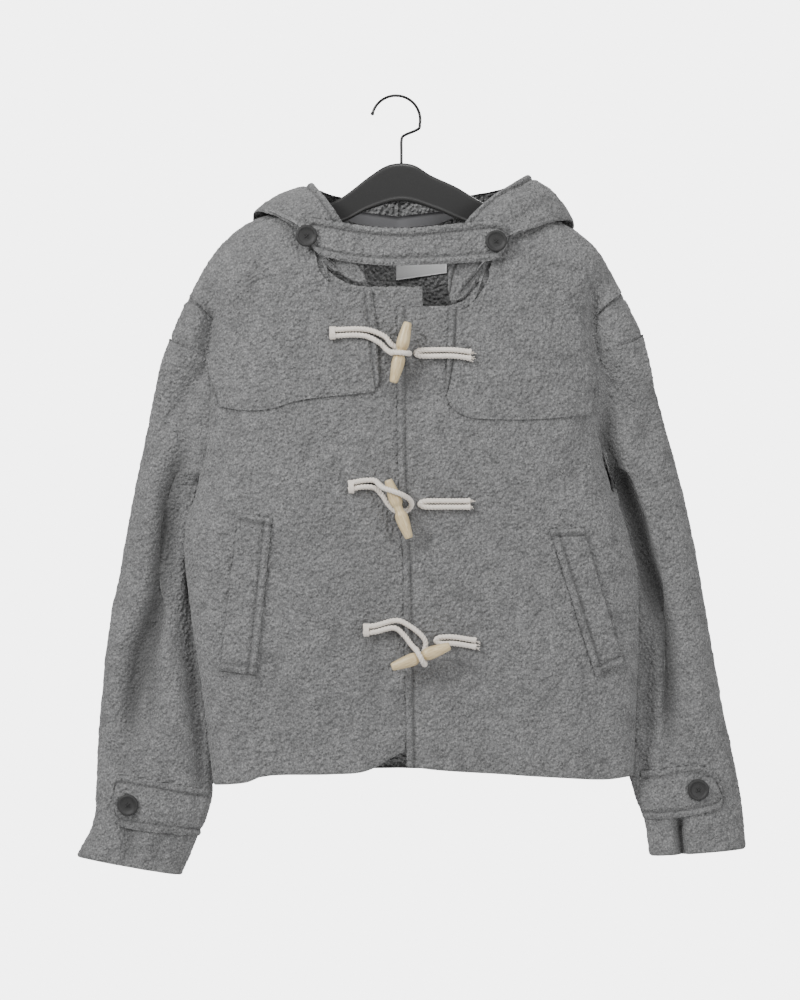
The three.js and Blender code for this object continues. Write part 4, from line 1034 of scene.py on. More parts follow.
for side in SIGN:
    make_sleeve(side)
    make_band(side)
print("sleeve triangles:", {k: v for k, v in count_triangles().items() if "sleeve" in k})

# %% [markdown]
# The hood has fallen back. Each half runs from its neck seam round a slack belly to the rim, and the
# two meet in a seam at the back. Inside it is lined with satin, which shows under the hanger.

# %% Hood
HOOD = {
    "left": [
        ((-32, -49, -204.5), (-34, -50, -200), (-35, -50.5, -195), (-36, -50.5, -190), (-36, -50, -184)),
        ((-51, -50, -200.5), (-54, -51, -195), (-53, -52, -186), (-50, -52, -177), (-44, -50, -166)),
        ((-72, -48, -186), (-76, -50, -180), (-76, -52, -168), (-69, -51, -156), (-55, -48, -145)),
        ((-82.5, -45, -165), (-90, -50, -159), (-95, -53, -147), (-86, -51, -130), (-66, -42, -126)),
        ((-87, -37, -138), (-110, -46, -142), (-129, -38, -131), (-111, -33, -110), (-78, -26, -109)),
        ((-91, 0, -107.5), (-125, 0, -116), (-156.5, 3, -127), (-129, 2, -105), (-91, -3, -93)),
        ((-84, 22, -114), (-112, 40, -140), (-144, 52, -172), (-122, 48, -116), (-86, 29, -97)),
        ((-50, 36, -133), (-76, 51, -190), (-98, 66, -262), (-86, 74, -160), (-54, 60, -104)),
        ((0, 41, -139), (0, 52, -210), (0, 68, -315), (0, 84, -190), (0, 73, -107)),
    ],
    "right": [
        ((57, -51, -224.5), (56, -51, -222), (55, -51.5, -218), (54, -51.5, -214), (53, -51, -208)),
        ((68, -50, -218.5), (69, -51, -214), (66, -52, -206), (61, -52, -198), (54, -51, -186)),
        ((84, -49, -197), (87, -51, -190), (83, -52.5, -177), (74, -52, -166), (60, -50, -160)),
        ((94, -46, -173), (103, -51, -166), (108, -54, -151), (95, -51, -136), (72, -44, -137)),
        ((99, -38, -144), (128, -46, -148), (154, -38, -138), (136, -33, -109), (98, -31, -111)),
        ((103, 0, -107.5), (150, 0, -117), (190, 3, -137), (169, 2, -103), (138, -4, -84)),
        ((94, 22, -114), (128, 40, -142), (166, 52, -178), (152, 50, -118), (122, 30, -93)),
        ((52, 36, -133), (80, 51, -190), (104, 66, -262), (98, 74, -160), (70, 60, -102)),
        ((0, 41, -139), (0, 52, -210), (0, 68, -315), (0, 84, -190), (0, 73, -107)),
    ],
}
HOOD_MIDDLE = np.array([0.0, 62.0, -170.0])


def hood_at(side, across, around):
    """Points of a hood half: across from the notch to the middle of the back, around from neck to rim."""
    rows = np.array(HOOD[side], float)
    table = rows.reshape(len(rows), -1)
    rings = read(np.arange(len(rows), dtype=float), table, np.asarray(across) * (len(rows) - 1)).reshape(-1,
                                                                                                         5,
                                                                                                         3)
    around = np.asarray(around, float)
    p = np.stack([read(np.arange(5.0), ring, around * 4) for ring in rings])
    x, y, z = p[..., 0], p[..., 1], p[..., 2]
    neck = np.array(NECK[side], float)
    half_neck = np.abs(read(neck[:, 1], neck[:, 0], np.clip(z, neck[:, 1].min(), neck[:, 1].max())))
    behind = (z > shoulder_at(x)) | (y > 0)
    low_back = behind & (y > 8) & (z < BACK_NECK + 30)
    most = -(front_depth(x, z) + CLOTH + 1.4 + (FLAP + 1.3) * smooth_step(0, 0.12, around[None]))
    over = smooth_step(-9, -3, np.abs(x) - half_neck)
    y = np.where(low_back, np.maximum(y, back_depth(x, z) + 2), y)
    y = np.where(~behind & (y > most), mix(y, most, over), y)
    return np.stack([x, y, z], axis=-1)


HOOD_CREASES = [
    ([(-146, -118), (-122, -132), (-98, -152)], 7, 2.6), ([(-60, -170), (-70, -200), (-80, -230)], 14, 3.4),
    ([(172, -108), (146, -124), (112, -150)], 7, 2.8), ([(60, -170), (74, -205), (85, -240)], 14, 3.4),
    ([(-20, -180), (-25, -290)], 14, 2.8), ([(25, -150), (30, -280)], 14, 2.8),
    ([(-118, -104), (-100, -122)], 5, 1.8),
    ([(140, -92), (118, -112)], 5, 2.2),
]


def make_hood(side):
    across, around = np.linspace(0, 1, 181), np.linspace(0, 1, 121)
    points = hood_at(side, across, around)
    points[-1, :, 0] = SIGN[side] * SEAM / 2
    out = points - HOOD_MIDDLE
    piece = shell(f"wool_hood_{side}", points, CLOTH, out, free=("top", "bottom", "start", "end"),
                  stitched=[("end", 8.6)],
                  dents=creases(HOOD_CREASES))
    put_in_place(piece, f"hood_{side}")


for side in SIGN:
    make_hood(side)
print("hood triangles:", {k: v for k, v in count_triangles().items() if "hood" in k})


# %% [markdown]
# The lining is a loose satin bag inside the hood, seen in the opening behind the hanger. It follows
# the hood's form a little further in, with fine upright wrinkles, because satin is cut a little full
# and its seam is gathered. A cloth simulation would wrinkle it too, but differently on each run.

# %% Hood lining
def satin_wrinkles(points):
    x, z = points[..., 0], points[..., 2]
    wave = 0.9 * np.sin(x / 5.1 + 0.35 * np.sin(z / 9.0)) + 0.6 * np.sin(x / 2.9 + z / 17.0)
    return wave * (0.6 + 0.4 * lumps(points, 22.0, 11))


def make_lining():
    across, around = np.linspace(0.6875, 1, 61), np.linspace(0.05, 0.95, 121)
    halves = {}
    for side in SIGN:
        points = hood_at(side, across, around)
        points[-1, :, 0] = 0
        n, _ = directions(points, points - HOOD_MIDDLE)
        n[-1, :, 0] = 0
        halves[side] = points - n * (CLOTH + SEAM + 0.2)
    points = np.concatenate([halves["left"][:-1], halves["right"][::-1]])
    piece = shell("satin_hood_lining", points, SATIN_CLOTH * 0.6, points - HOOD_MIDDLE, material=SATIN,
                  relief=0.0,
                  free=(), dents=satin_wrinkles)
    put_in_place(piece, "hood_lining")


make_lining()
print("lining triangles:", count_triangles()["satin_hood_lining"])

# %% [markdown]
# Pieces laid on the coat: yokes, pocket welts, cuff tabs and the chin strap. Each is a second layer of
# the same wool, turned at its edges and topstitched about 8 mm in, so its border stands up as a soft
# ridge. They take their form from the cloth below, moved out by a seam's gap.

# %% Yokes and welts
YOKE = {
    "left": {"inner": [(-28, -211), (-23, -250), (-20, -300), (-19.5, -309)],
             "lower": [(-25, -318), (-35, -321), (-66, -324), (-106, -329), (-137, -338), (-161, -339.5),
                       (-192, -336)]},
    "right": {"inner": [(54, -232), (52, -280), (51, -315)],
              "lower": [(54.5, -333), (73, -346), (101.5, -349), (149, -349), (185, -346), (206, -344.7)]},
}
WELTS = {
    "left": [(-170.4, -447.8), (-134, -454.5), (-151.6, -622), (-190.3, -617.5)],
    "right": [(161.2, -465.5), (197.6, -464.4), (241.7, -609.8), (211, -624.1)],
}


def on_front(cloth, side):
    x, z = cloth[..., 0], cloth[..., 1]
    proud = lap(x) if side == "right" else 0
    points = np.stack([x, -(front_depth(x, z) + proud), z], axis=-1)
    n, _ = directions(points, TOWARDS_FRONT)
    return points - n * creases(FRONT_CREASES)(points)[..., None]


def make_yoke(side):
    sign, inner, lower = SIGN[side], YOKE[side]["inner"], YOKE[side]["lower"]
    clear = 12
    neck = [inner[0]] + [(x + sign * 4, z - clear * 0.7) for x, z in NECK[side][1:]]
    xs = np.linspace(neck[-1][0], BAND[side]["upper"][0][0] * 0.975, 11)
    shoulder = np.stack([xs, shoulder_at(xs) - np.linspace(clear, 6.5, 11)], axis=1)
    fold_top, fold_low = (
        (sign * (float(read(EDGE_ROWS["z"], EDGE_ROWS[side], z)) - 3), z) for z in (-243, -290)
    )
    outer = joined([route([shoulder[-1], fold_top]), route([fold_top, fold_low, lower[-1]])])
    top = joined([route(neck), route(shoulder)])
    bottom = route([inner[-1]] + lower)
    us, vs = places(top.total, 2.0, top.corners), places(outer.total, 2.0, outer.corners)
    points = on_front(patch(top, bottom, route(inner), outer, us, vs), side)
    piece = shell(f"wool_yoke_{side}", points, FLAP, TOWARDS_FRONT, lift=SEAM + FLAP + 1.0,
                  free=("bottom", "start", "top"), stitched=[("start", 8.2)], coarse=2)
    put_in_place(piece, f"yoke_{side}")


def make_welt(side):
    a, b, c, d = (np.array(p, float) for p in WELTS[side])
    us, vs = np.linspace(0, 1, 23), np.linspace(0, 1, 89)
    u, v = us[None, :, None], vs[:, None, None]
    cloth = (1 - v) * ((1 - u) * a + u * b) + v * ((1 - u) * d + u * c)
    piece = shell(f"wool_pocket_welt_{side}", on_front(cloth, side), FLAP + 0.6, TOWARDS_FRONT,
                  lift=SEAM + FLAP + 1.4,
                  stitched=[("start", 8.6), ("top", 8.6), ("bottom", 8.6)] if side == "right" else
                  [("end", 8.6), ("top", 8.6), ("bottom", 8.6)])
    put_in_place(piece, f"pocket_welt_{side}")


for side in SIGN:
    make_yoke(side)
    make_welt(side)
print("laid-on triangles:", {k: v for k, v in count_triangles().items() if "yoke" in k or "welt" in k})

# %% [markdown]
# A cuff tab is a doubled strap that starts in the sleeve's seam and is held by a button, so it lies
# on the sleeve. Its points are therefore found on the sleeve itself, round and along, and then moved
# out by a seam and its own thickness. Shrinkwrap would do this, but would lose the even outline.

# %% Cuff tabs
TABS = {
    "left": {"upper": [(-306, -744), (-303, -732), (-278, -733.5), (-240, -741), (-203, -748)],
             "lower": [(-306, -774), (-301, -786), (-265, -792.5), (-240, -795.5), (-214, -798.5)]},
    "right": {"upper": [(349, -746), (340, -727), (317, -720), (284, -724.5), (262, -727.5)],
              "lower": [(349, -762), (345, -768), (322.6, -773.8), (284, -779.3), (266, -779)]},
}


def sleeve_coordinates(side, place):
    """Where a place seen from the front lies on a sleeve, as its place along the rings and its turn."""
    low, high = 3.0, float(len(SLEEVE[side]) - 1)
    rows = np.array(SLEEVE[side], float)

    def ring_and_side(along):
        xo, zo, xi, zi = read(RING_NUMBERS[side], rows, along)[:4]
        return (xi - xo) * (place[1] - zo) - (zi - zo) * (place[0] - xo), (xo, zo, xi, zi)

    start_sign = np.sign(ring_and_side(low)[0])
    for _ in range(40):
        middle = (low + high) / 2
        if np.sign(ring_and_side(middle)[0]) == start_sign:
            low = middle
        else:
            high = middle
    xo, zo, xi, zi = ring_and_side(low)[1]
    across = ((place[0] - xo) * (xi - xo) + (place[1] - zo) * (zi - zo)) / ((xi - xo) ** 2 + (zi - zo) ** 2)
    return low, math.acos(1 - 2 * min(0.998, max(0.002, across))) / math.pi


def make_tab(side):
    edges = {}
    for name in ("upper", "lower"):
        follow = route(TABS[side][name])
        edges[name] = np.array([sleeve_coordinates(side, p) for p in follow(np.linspace(0, 1, 57))])
    v = np.linspace(0, 1, 27)[:, None, None]
    grid = (1 - v) * edges["upper"][None] + v * edges["lower"][None]
    points = sleeve_at(side, grid[..., 0], grid[..., 1])
    n, _ = directions(points, TOWARDS_FRONT)
    points = points - n * creases(SLEEVE_CREASES[side])(points)[..., None]
    piece = shell(f"wool_cuff_tab_{side}", points, FLAP, TOWARDS_FRONT, lift=SEAM + FLAP,
                  stitched=[("top", 8.4), ("bottom", 8.4)])
    put_in_place(piece, f"cuff_tab_{side}")


for side in SIGN:
    make_tab(side)
print("tab triangles:", {k: v for k, v in count_triangles().items() if "tab" in k})

# %% [markdown]
# The chin strap bridges the open neck from one front to the other and only touches cloth near its
# two buttons. It hangs free between them, so its depth comes from a short table of its own.

# %% Chin strap
STRAP = {
    "upper": [(-101, -132), (-82.6, -135.3), (-38, -142.5), (7, -145.2), (51.6, -141.6), (96.4, -137),
              (116, -138)],
    "lower": [(-92, -172), (-56, -181), (-11, -185.4), (25, -184.6), (69.6, -182.7), (103.6, -179.2),
              (117, -169)],
    "depth": {"x": [-110, -60, 7, 60, 120], "y": [-55.7, -56.7, -58.2, -57.6, -56.6]},
}


def make_strap():
    us, vs = np.linspace(0, 1, 123), np.linspace(-1, 1, 27)
    upper, lower = route(STRAP["upper"])(us), route(STRAP["lower"])(us)
    half, corner = 21.0, 13.0
    ends = np.minimum(us, 1 - us) * 222.0
    keep = (half - corner + np.sqrt(np.maximum(0, corner**2 - np.maximum(0, corner - ends) ** 2))) / half
    v = (1 + vs[:, None] * keep[None]) / 2
    flat = upper[None] * (1 - v[..., None]) + lower[None] * v[..., None]
    x, z = flat[..., 0], flat[..., 1]
    y = read(STRAP["depth"]["x"], STRAP["depth"]["y"], x)
    y = y + 1.5 * np.sin(z / 14) * np.exp(-((x / 70) ** 2))
    piece = shell("wool_chin_strap", np.stack([x, y, z], axis=-1), FLAP, TOWARDS_FRONT,
                  stitched=[("top", 8.6), ("bottom", 8.6)])
    put_in_place(piece, "chin_strap")


make_strap()
print("strap triangles:", count_triangles()["wool_chin_strap"])


# %% [markdown]
# The woven label is sewn in below the neck, inside the back, and shows above and below the strap. It
# is a plain flat tape, slightly out of square, and stays blank.

# %% Label
def make_label():
    u, v = np.linspace(0, 1, 29)[None], np.linspace(0, 1, 27)[:, None]
    x = mix(-2.0, 53.0, u) + 0 * v
    z = mix(mix(-144.0, -143.0, u), mix(-196.0, -188.0, u), v)
    y = back_depth(x, z) - CLOTH - SEAM - 0.4 - 0.5 * np.sin(x / 9) - 1.2 * smooth_step(0.6, 1, v)
    piece = shell("blank_label", np.stack([x, y, z], axis=-1), 0.5, TOWARDS_FRONT, material=LABEL_TAPE,
                  relief=0, free=())
    put_in_place(piece, "label")


make_label()
print("label triangles:", count_triangles()["blank_label"])

# %% [markdown]
# Buttons are turned on a lathe in real life too: a rim, a dished middle and four holes with a cross of
# thread. A profile spun round an axis gives exactly that, and a Screw modifier would as well, but the
# spun points are needed as numbers, to be turned to the slope of the cloth that each button lies on.


# %% Buttons
def spun(profile, sides):
    """A closed form from a profile of (radius, height) rows, first and last on the axis."""
    angle = np.linspace(0, 2 * math.pi, sides, endpoint=False)
    verts, faces = [(0, 0, profile[0][1])], []
    for r, h in profile[1:-1]:
        verts += [(r * math.cos(a), r * math.sin(a), h) for a in angle]
    verts.append((0, 0, profile[-1][1]))
    rings = len(profile) - 2
    for s in range(sides):
        t = (s + 1) % sides
        faces.append([0, 1 + t, 1 + s])
        for k in range(rings - 1):
            a = 1 + k * sides
            faces.append([a + s, a + t, a + sides + t, a + sides + s])
        a = 1 + (rings - 1) * sides
        faces.append([a + s, a + t, len(verts) - 1])
    return np.array(verts, float), faces


def turned_to(verts, place, axis):
    """Lathe points with their axis along a direction, at a place."""
    axis = Vector(axis).normalized()
    turn = np.array(axis.to_track_quat("Z", "Y").to_matrix())
    return verts @ turn.T + np.array(place)


BUTTON_PROFILE = [
    (0, 0), (10.4, 0), (11.3, 0.5), (11.5, 1.2), (11.5, 2.6), (11.2, 3.4), (10.4, 3.9), (9.6, 4.0),
    (8.8, 3.8), (8.2, 3.2),
    (7.6, 2.75), (5.0, 2.6), (2.0, 2.55), (0, 2.55),
]


def make_button(name, node_name, place, axis):
    verts, faces = spun(BUTTON_PROFILE, 64)
    parts = [(turned_to(verts, place, axis), faces)]
    hole, hole_faces = spun([(0, 2.62), (0.9, 2.62), (1.15, 2.8), (0.9, 2.95), (0, 2.7)], 12)
    for dx, dy in ((1.7, 1.7), (-1.7, 1.7), (1.7, -1.7), (-1.7, -1.7)):
        parts.append((turned_to(hole + np.array([dx, dy, 0]), place, axis), hole_faces))
    for sign in (1, -1):
        a = np.linspace(-1, 1, 9)
        bar = [np.array([1.7 * t, 1.7 * t * sign, 3.0 + 0.35 * (1 - t * t)]) for t in a]
        tube_verts, tube_faces = tube(bar, 0.45, 8, 0)
        parts.append((turned_to(tube_verts, place, axis), tube_faces))
    piece = mesh_object(name, *merged(parts), BUTTON_BLACK)
    put_in_place(piece, node_name)


def merged(parts):
    verts, faces, offset = [], [], 0
    for v, f in parts:
        verts.append(np.asarray(v) * MM)
        faces += [[i + offset for i in face] for face in f]
        offset += len(v)
    return np.concatenate(verts).tolist(), faces


def frames_along(path):
    """Side vectors that turn as little as possible along a path."""
    path = np.asarray(path, float)
    way = np.gradient(path, axis=0)
    way /= np.linalg.norm(way, axis=1, keepdims=True)
    side = np.cross(way[0], [0, 1, 0])
    if np.linalg.norm(side) < 1e-3:
        side = np.cross(way[0], [1, 0, 0])
    sides = []
    for w in way:
        side = side - w * side.dot(w)
        side /= np.linalg.norm(side)
        sides.append(side.copy())
    sides = np.array(sides)
    return way, sides, np.cross(way, sides)


def tube(path, radius, count, twist, strands=0, groove=0.0, swell=None):
    """A tube round a path with closed ends; strands cut twisted grooves into it."""
    path = np.asarray(path, float)
    _, a, b = frames_along(path)
    reach = np.concatenate([[0], np.cumsum(np.linalg.norm(np.diff(path, axis=0), axis=1))])
    angle = np.linspace(0, 2 * math.pi, count, endpoint=False)
    phase = angle[None] - twist * reach[:, None]
    r = radius * (1 - groove * (1 - np.abs(np.cos(strands * phase / 2)))) if strands else radius + 0 * phase
    if swell is not None:
        r = r * swell[:, None]
    cosine, sine = np.cos(angle)[None, :, None], np.sin(angle)[None, :, None]
    ring = path[:, None] + r[..., None] * (cosine * a[:, None] + sine * b[:, None])
    verts = np.concatenate([ring.reshape(-1, 3), path[:1], path[-1:]])
    faces = []
    n = len(path)
    for k in range(n - 1):
        for s in range(count):
            t = (s + 1) % count
            faces.append([k * count + s, k * count + t, (k + 1) * count + t, (k + 1) * count + s])
    for s in range(count):
        t = (s + 1) % count
        faces.append([n * count, t, s])
        faces.append([n * count + 1, (n - 1) * count + s, (n - 1) * count + t])
    return verts, faces


def smooth_path(points, step):
    points = np.asarray(points, float)
    gaps = np.sqrt(np.linalg.norm(np.diff(points, axis=0), axis=1))
    keys = np.concatenate([[0], np.cumsum(gaps)])
    count = int(np.linalg.norm(np.diff(points, axis=0), axis=1).sum() / step) + 2
    return read(keys, points, np.linspace(0, keys[-1], count))


STRAP_BUTTONS = {"left": (-97.3, -154), "right": (104.5, -159.5)}
for side, (x, z) in STRAP_BUTTONS.items():
    depths = read(STRAP["depth"]["x"], STRAP["depth"]["y"], np.array([x - 7.7, x, x + 7.7]))
    slope = (depths[2] - depths[0]) / 15.4
    make_button(f"strap_button_{side}_turned", f"strap_button_{side}", (x, depths[1] - SEAM, z),
                (slope, -1, 0))

TAB_BUTTONS = {"left": (0.31, 9.33), "right": (0.41, 8.98)}
for side, (across, along) in TAB_BUTTONS.items():
    turn, e = math.acos(1 - 2 * across) / math.pi, 0.03
    da = sleeve_at(side, along, turn + e) - sleeve_at(side, along, turn - e)
    dl = sleeve_at(side, along + e, turn) - sleeve_at(side, along - e, turn)
    axis = np.cross(da, dl)
    axis = axis / np.linalg.norm(axis) * (-1 if axis[1] > 0 else 1)
    spot = sleeve_at(side, along, turn) + axis * (SEAM + FLAP + 0.2)
    make_button(f"cuff_button_{side}_turned", f"cuff_button_{side}", tuple(spot), tuple(axis))
print("buttons:", [o.name for o in PIECES if "button" in o.name])

# %% [markdown]
# Toggles and cords. A toggle is a turned spindle with a waist. Its cord is a twisted cotton cord,
# doubled: the holder grips the toggle's waist, and the loop on the other front takes the toggle.
# Each cord is a tube on a smooth path, with the grooves of its twisted strands.

# %% Toggles and cords
TOGGLE_LENGTH, TOGGLE_RADIUS, TOGGLE_WAIST, TOGGLE_END = 66.0, 6.8, 4.7, 4.4
TOGGLE_LIFT, WRAP_RADIUS = 13.3, 9.4
CORD_R = 3.0
TOGGLES = [
    {"top": (10.6, -246), "foot": (-4.9, -311), "wrap": (1, 2.7), "rest": (-1.85, -0.25, 0.25),
     "before": [(-73, -254, 3), (-36, -253.4, 3), (-15, -260.5, 3), (-6, -270, 3)],
     "after": [(-13, -274, 4), (-21, -267, 3), (-38, -260, 3), (-73, -260.6, 3)],
     "loop": [(78, -277.6, 3), (59, -275.4, 3), (30, -275.4, 3), (22, -276.3, 3), (19.2, -278.8, 3),
              (22, -281.3, 3),
              (30, -282, 3), (59, -282, 3), (78, -284.4, 3)]},
    {"top": (-10, -414.7), "foot": (11.7, -475), "wrap": None, "rest": (-1.75, 0.3, 1.2),
     "before": [(-53, -417.6, 3), (-38, -414.6, 3), (-25, -414.5, 3), (-19.5, -419, 11), (-15, -422.5, 21),
                (-5, -426, 24.5), (4, -429.5, 23), (11.5, -434, 17), (14.5, -440, 9.5), (9, -446.5, 3.4)],
     "after": [(-2, -447, 3.4), (-10, -440, 3.2), (-17, -430, 3), (-25, -422.5, 3), (-38, -421.4, 3),
               (-53, -424.4, 3)],
     "loop": [(77, -436.2, 3), (50, -436.2, 3), (32, -436.2, 3), (26, -437.2, 3), (23.4, -439.4, 3),
              (26, -441.8, 3),
              (32, -442.8, 3), (50, -442.8, 3), (77, -442.8, 3)]},
    {"top": (-0.8, -610.7), "foot": (49.5, -592.4), "wrap": (-1, -2.7), "rest": (-0.85, 0.8, 1.1),
     "before": [(-37, -570.6, 3), (-24, -569, 3), (-1, -563.6, 3), (14, -570.5, 3), (25, -579.5, 3),
                (29.5, -588, 3)],
     "after": [(14, -589, 5.5), (7, -580, 3), (-4, -571.6, 3), (-24, -575.8, 3), (-37, -577.3, 3)],
     "loop": [(83, -585.2, 3), (60, -581.4, 3), (48, -581.4, 3), (43, -582.4, 3), (40.4, -584.8, 3),
              (43, -587.2, 3),
              (48, -588.2, 3), (60, -588.2, 3), (83, -592, 3)]},
]


def cover(x, z):
    """How far the outermost cloth stands out, with the lap and the yokes."""
    lapped = lap(x) * smooth_step(-15, -5, x)
    on_left = smooth_step(-12, -19, x) * smooth_step(-345, -338, z)
    on_right = smooth_step(42, 49, x) * smooth_step(-355, -348, z)
    return front_depth(x, z) + lapped + (SEAM + FLAP) * np.maximum(on_left, on_right) + 1


def spindle_profile():
    half = TOGGLE_LENGTH / 2
    keys = [-half, -half * 0.97, -half * 0.9, -half * 0.42, -half * 0.2, -3.8, -3.1, 0, 3.1, 3.8,
            half * 0.2, half * 0.42,
            half * 0.9, half * 0.97, half]
    radii = [TOGGLE_END * 0.78, TOGGLE_END * 0.95, TOGGLE_END + 0.3, TOGGLE_RADIUS, TOGGLE_RADIUS * 0.97,
             TOGGLE_WAIST + 0.5, TOGGLE_WAIST, TOGGLE_WAIST, TOGGLE_WAIST, TOGGLE_WAIST + 0.5,
             TOGGLE_RADIUS * 0.97,
             TOGGLE_RADIUS, TOGGLE_END + 0.3, TOGGLE_END * 0.95, TOGGLE_END * 0.78]
    at = np.linspace(-half, half, 67)
    return [(0, -half)] + [(float(r), float(h)) for h, r in zip(at, read(keys, radii, at))] + [(0, half)]


def whipping(line):
    """Thread wound round the two ends of a cord where it is sewn down."""
    across = line[0] - line[-1]
    half = np.linalg.norm(across) / 2
    across = across / (2 * half)
    inward = np.array([-across[2], 0, across[0]])
    inward = inward * np.sign(((line[9] - line[0]) * inward).sum())
    turn = np.linspace(0, 2 * math.pi * 6, 181)[:, None]
    ring = across * np.cos(turn) * (half + CORD_R + 0.2) + TOWARDS_FRONT * np.sin(turn) * (CORD_R + 0.3)
    return tube((line[0] + line[-1]) / 2 + inward * (0.6 + turn / 6.6) + ring, 0.6, 8, 0)


def frayed_ends(line, seed):
    """Loose yarns at the two cut ends of a cord."""
    rng = np.random.default_rng(40 + seed)
    yarns = []
    for end, before in ((line[0], line[3]), (line[-1], line[-4])):
        away = (end - before) / np.linalg.norm(end - before)
        for _ in range(9):
            side = rng.normal(0, 1, 3) * (1, 0.5, 1)
            start = end - away * 1.0 + side * 1.1
            bend = rng.normal(0, 0.8, 3) * (1, 0.4, 1)
            middle, tip = start + away * 1.9 + side * 0.35, start + away * 3.6 + side * 0.6 + bend
            yarns.append(tube(smooth_path([start, middle, tip], 0.5), 0.34, 6, 0))
    return yarns


def make_toggle(place, number):
    top, foot = np.array(place["top"], float), np.array(place["foot"], float)
    middle = (top + foot) / 2
    level = float(cover(*middle))
    way = (foot - top) / np.linalg.norm(foot - top)
    verts, faces = spun(spindle_profile(), 48)
    spot = (middle[0], place["rest"][0] - level - TOGGLE_LIFT, middle[1])
    piece = mesh_object(f"toggle_{number}_turned", *merged([(turned_to(verts, spot, (way[0], 0, way[1])),
                                                             faces)]), TOGGLE_WOOD)
    wrap_grain_round(piece, verts)
    put_in_place(piece, f"toggle_{number}")
    wrap = []
    if place["wrap"]:
        sense, drift = place["wrap"]
        for degrees in np.linspace(-90, 200, 9):
            a = math.radians(degrees)
            off, slid = WRAP_RADIUS * math.cos(a) * sense, drift * (degrees - 55) / 145
            wrap.append((middle[0] - way[1] * off + way[0] * slid, middle[1] + way[0] * off + way[1] * slid,
                         TOGGLE_LIFT + WRAP_RADIUS * math.sin(a)))
    for name, spots, rest in (("holder", place["before"] + wrap + place["after"], place["rest"][1]),
                              ("loop", place["loop"], place["rest"][2])):
        path = []
        for x, z, up in spots:
            cloth = float(cover(np.array(float(x)), np.array(float(z))))
            under = mix(cloth, level, float(smooth_step(3, 9, up)))
            path.append((x, rest - under - up, z))
        line = smooth_path(path, 0.8)
        reach = np.concatenate([[0], np.cumsum(np.linalg.norm(np.diff(line, axis=0), axis=1))])
        from_end = np.minimum(reach, reach[-1] - reach)
        flared = 1 + (0.06 if name == "holder" else 0.2) * np.exp(-((from_end / 3.5) ** 2))
        parts = [tube(line, CORD_R, 20, 0.62, 3, 0.34, flared)]
        parts += [whipping(line)] if name == "holder" else frayed_ends(line, number)
        piece = mesh_object(f"cotton_{name}_{number}", *merged(parts), COTTON)
        put_in_place(piece, f"toggle_{number}_{name}")


def wrap_grain_round(piece, lathe_verts):
    """Coordinates for the wood's grain: round the spindle and along it."""
    layer = piece.data.uv_layers.new(name="grain")
    angle = np.arctan2(lathe_verts[:, 1], lathe_verts[:, 0]) / (2 * math.pi) + 0.5
    along = lathe_verts[:, 2] / TOGGLE_LENGTH + 0.5
    index = np.zeros(len(piece.data.loops), int)
    piece.data.loops.foreach_get("vertex_index", index)
    layer.data.foreach_set("uv", np.stack([angle[index], along[index]], axis=1).ravel())


for number, place in enumerate(TOGGLES, start=1):
    make_toggle(place, number)
print("toggle triangles:", {k: v for k, v in count_triangles().items() if "toggle" in k or "cotton" in k})

# %% [markdown]
# The hanger: a flat moulded arm with rounded edges and a thin raised lip along its lower edge, and a
# hook of black wire. A bevelled curve would round the arm's edges too, but not raise a lip on one side
# only, so one cross section is swept between the upper and the lower outline. The hook is a tube.

# %% Hanger and hook
HANGER_TOP = [(-180, -159), (-140, -138), (-69, -113), (-28.5, -84), (-12, -74), (4, -71.3), (19, -74),
              (35, -84), (63, -97),
              (94, -115), (150, -135), (192, -159)]
HANGER_LOW = [(-176, -168), (-130, -155), (-59, -135), (-32, -122), (4, -113), (40, -122), (74, -136),
              (140, -153),
              (188, -168)]
HANGER_THICK = 9.0
HOOK_WIRE, HOOK_RADIUS = 3.1, 26.2


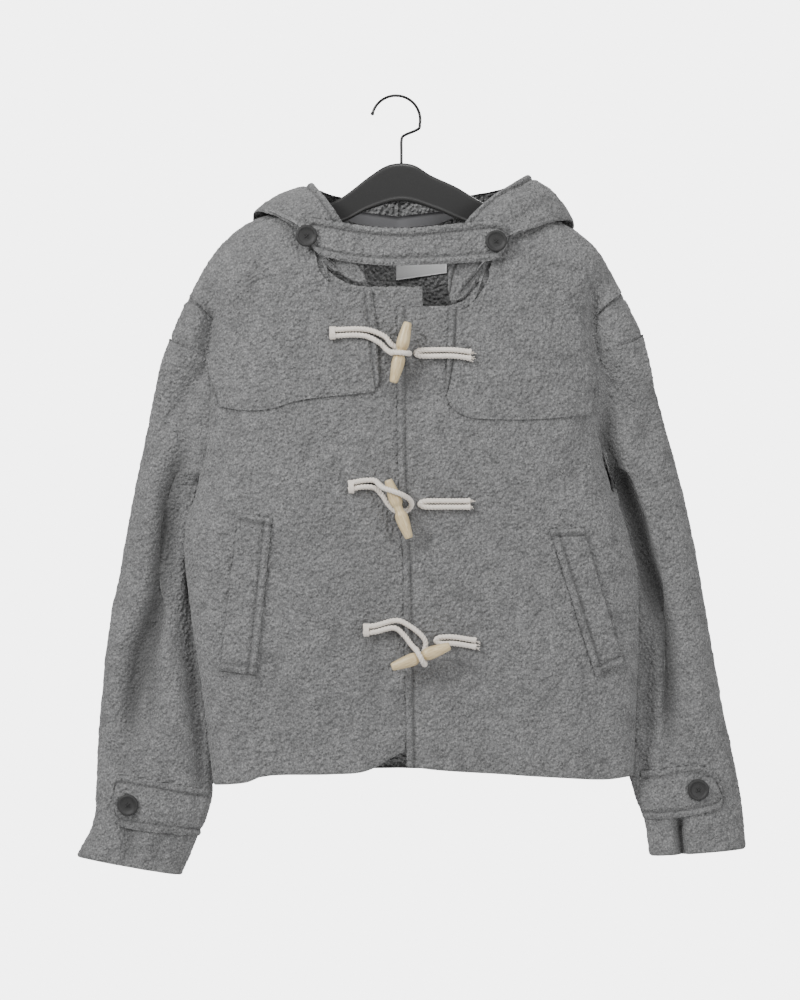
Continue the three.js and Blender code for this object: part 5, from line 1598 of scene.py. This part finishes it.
def make_hanger():
    us = np.linspace(0, 1, 161)
    top, low = route(HANGER_TOP)(us), route(HANGER_LOW)(us)
    section = [(0.0, 0.0), (0.012, 0.55), (0.04, 0.85), (0.09, 0.98), (0.15, 1.0), (0.5, 0.96),
               (0.84, 0.93), (0.885, 0.93),
               (0.91, 1.06), (0.95, 1.08), (0.975, 0.95), (0.99, 0.6), (1.0, 0.0)]
    loop = section + [(v, -d) for v, d in section[-2:0:-1]]
    verts = []
    for u_top, u_low in zip(top, low):
        for v, d in loop:
            x, z = mix(u_top, u_low, v)
            verts.append((x, -d * HANGER_THICK / 2, z))
    count = len(loop)
    faces = []
    for k in range(len(us) - 1):
        for s in range(count):
            t = (s + 1) % count
            faces.append([k * count + s, k * count + t, (k + 1) * count + t, (k + 1) * count + s])
    faces.append(list(range(count))[::-1])
    faces.append([(len(us) - 1) * count + s for s in range(count)])
    piece = mesh_object("hanger_arm", *merged([(np.array(verts), faces)]), HANGER_BLACK)
    put_in_place(piece, "hanger_body")


def make_hook():
    centre = (-2.2, HOOK_WIRE / 2 - HOOK_RADIUS)
    path = [(centre[0] + HOOK_RADIUS * math.cos(a), 0, centre[1] + HOOK_RADIUS * math.sin(a))
            for a in np.radians(np.linspace(165, -22, 17))]
    path += [(6, 0, -42), (3.8, 0, -47), (3.7, 0, -58), (3.7, 0, -72)]
    line = smooth_path(path, 1.2)
    tip, tip_faces = spun([(0, -2.2), (1.5, -1.7), (2.1, 0), (1.5, 1.7), (0, 2.2)], 20)
    piece = mesh_object("hook_wire_bent", *merged([tube(line, HOOK_WIRE / 2, 20, 0),
                                                   (tip + line[0], tip_faces)]), WIRE_BLACK)
    put_in_place(piece, "hanger_hook")


make_hanger()
make_hook()
print("hanger triangles:", {k: v for k, v in count_triangles().items() if "hanger" in k or "hook" in k})

# %% [markdown]
# The floor is plain and pale, well below the coat, so it shows in the side views and stays out of the
# way in the front one. A curved studio sweep would hide its edge, but the stage is kept simple here.


# %% Floor
def lay_floor():
    size, level = 3.0, -1.6
    corners = [(-size, -size, level), (size, -size, level), (size, size, level), (-size, size, level)]
    mesh = bpy.data.meshes.new("pale_floor")
    mesh.from_pydata(corners, [], [(0, 1, 2, 3)])
    material, tree, shader = new_material("pale_floor")
    drift = use_group(tree, MOTTLING, Scale=2.0, Amount=0.02)
    drift.inputs["Color"].default_value = grey(0.78)
    tree.links.new(drift.outputs["Color"], shader.inputs["Base Color"])
    shader.inputs["Roughness"].default_value = 0.9
    mesh.materials.append(material)
    floor = bpy.data.objects.new("pale_floor", mesh)
    bpy.context.scene.collection.objects.link(floor)


lay_floor()

# %% [markdown]
# Triangles in all the pieces, and in the largest one. They are measured on the smooth form, without
# pile and creases. The fronts and the back hang on the hanger's arm, and the other pieces are sewn to
# the body.

counts = count_triangles()
print("triangles in all:", sum(counts.values()), "largest piece:", max(counts.values()))
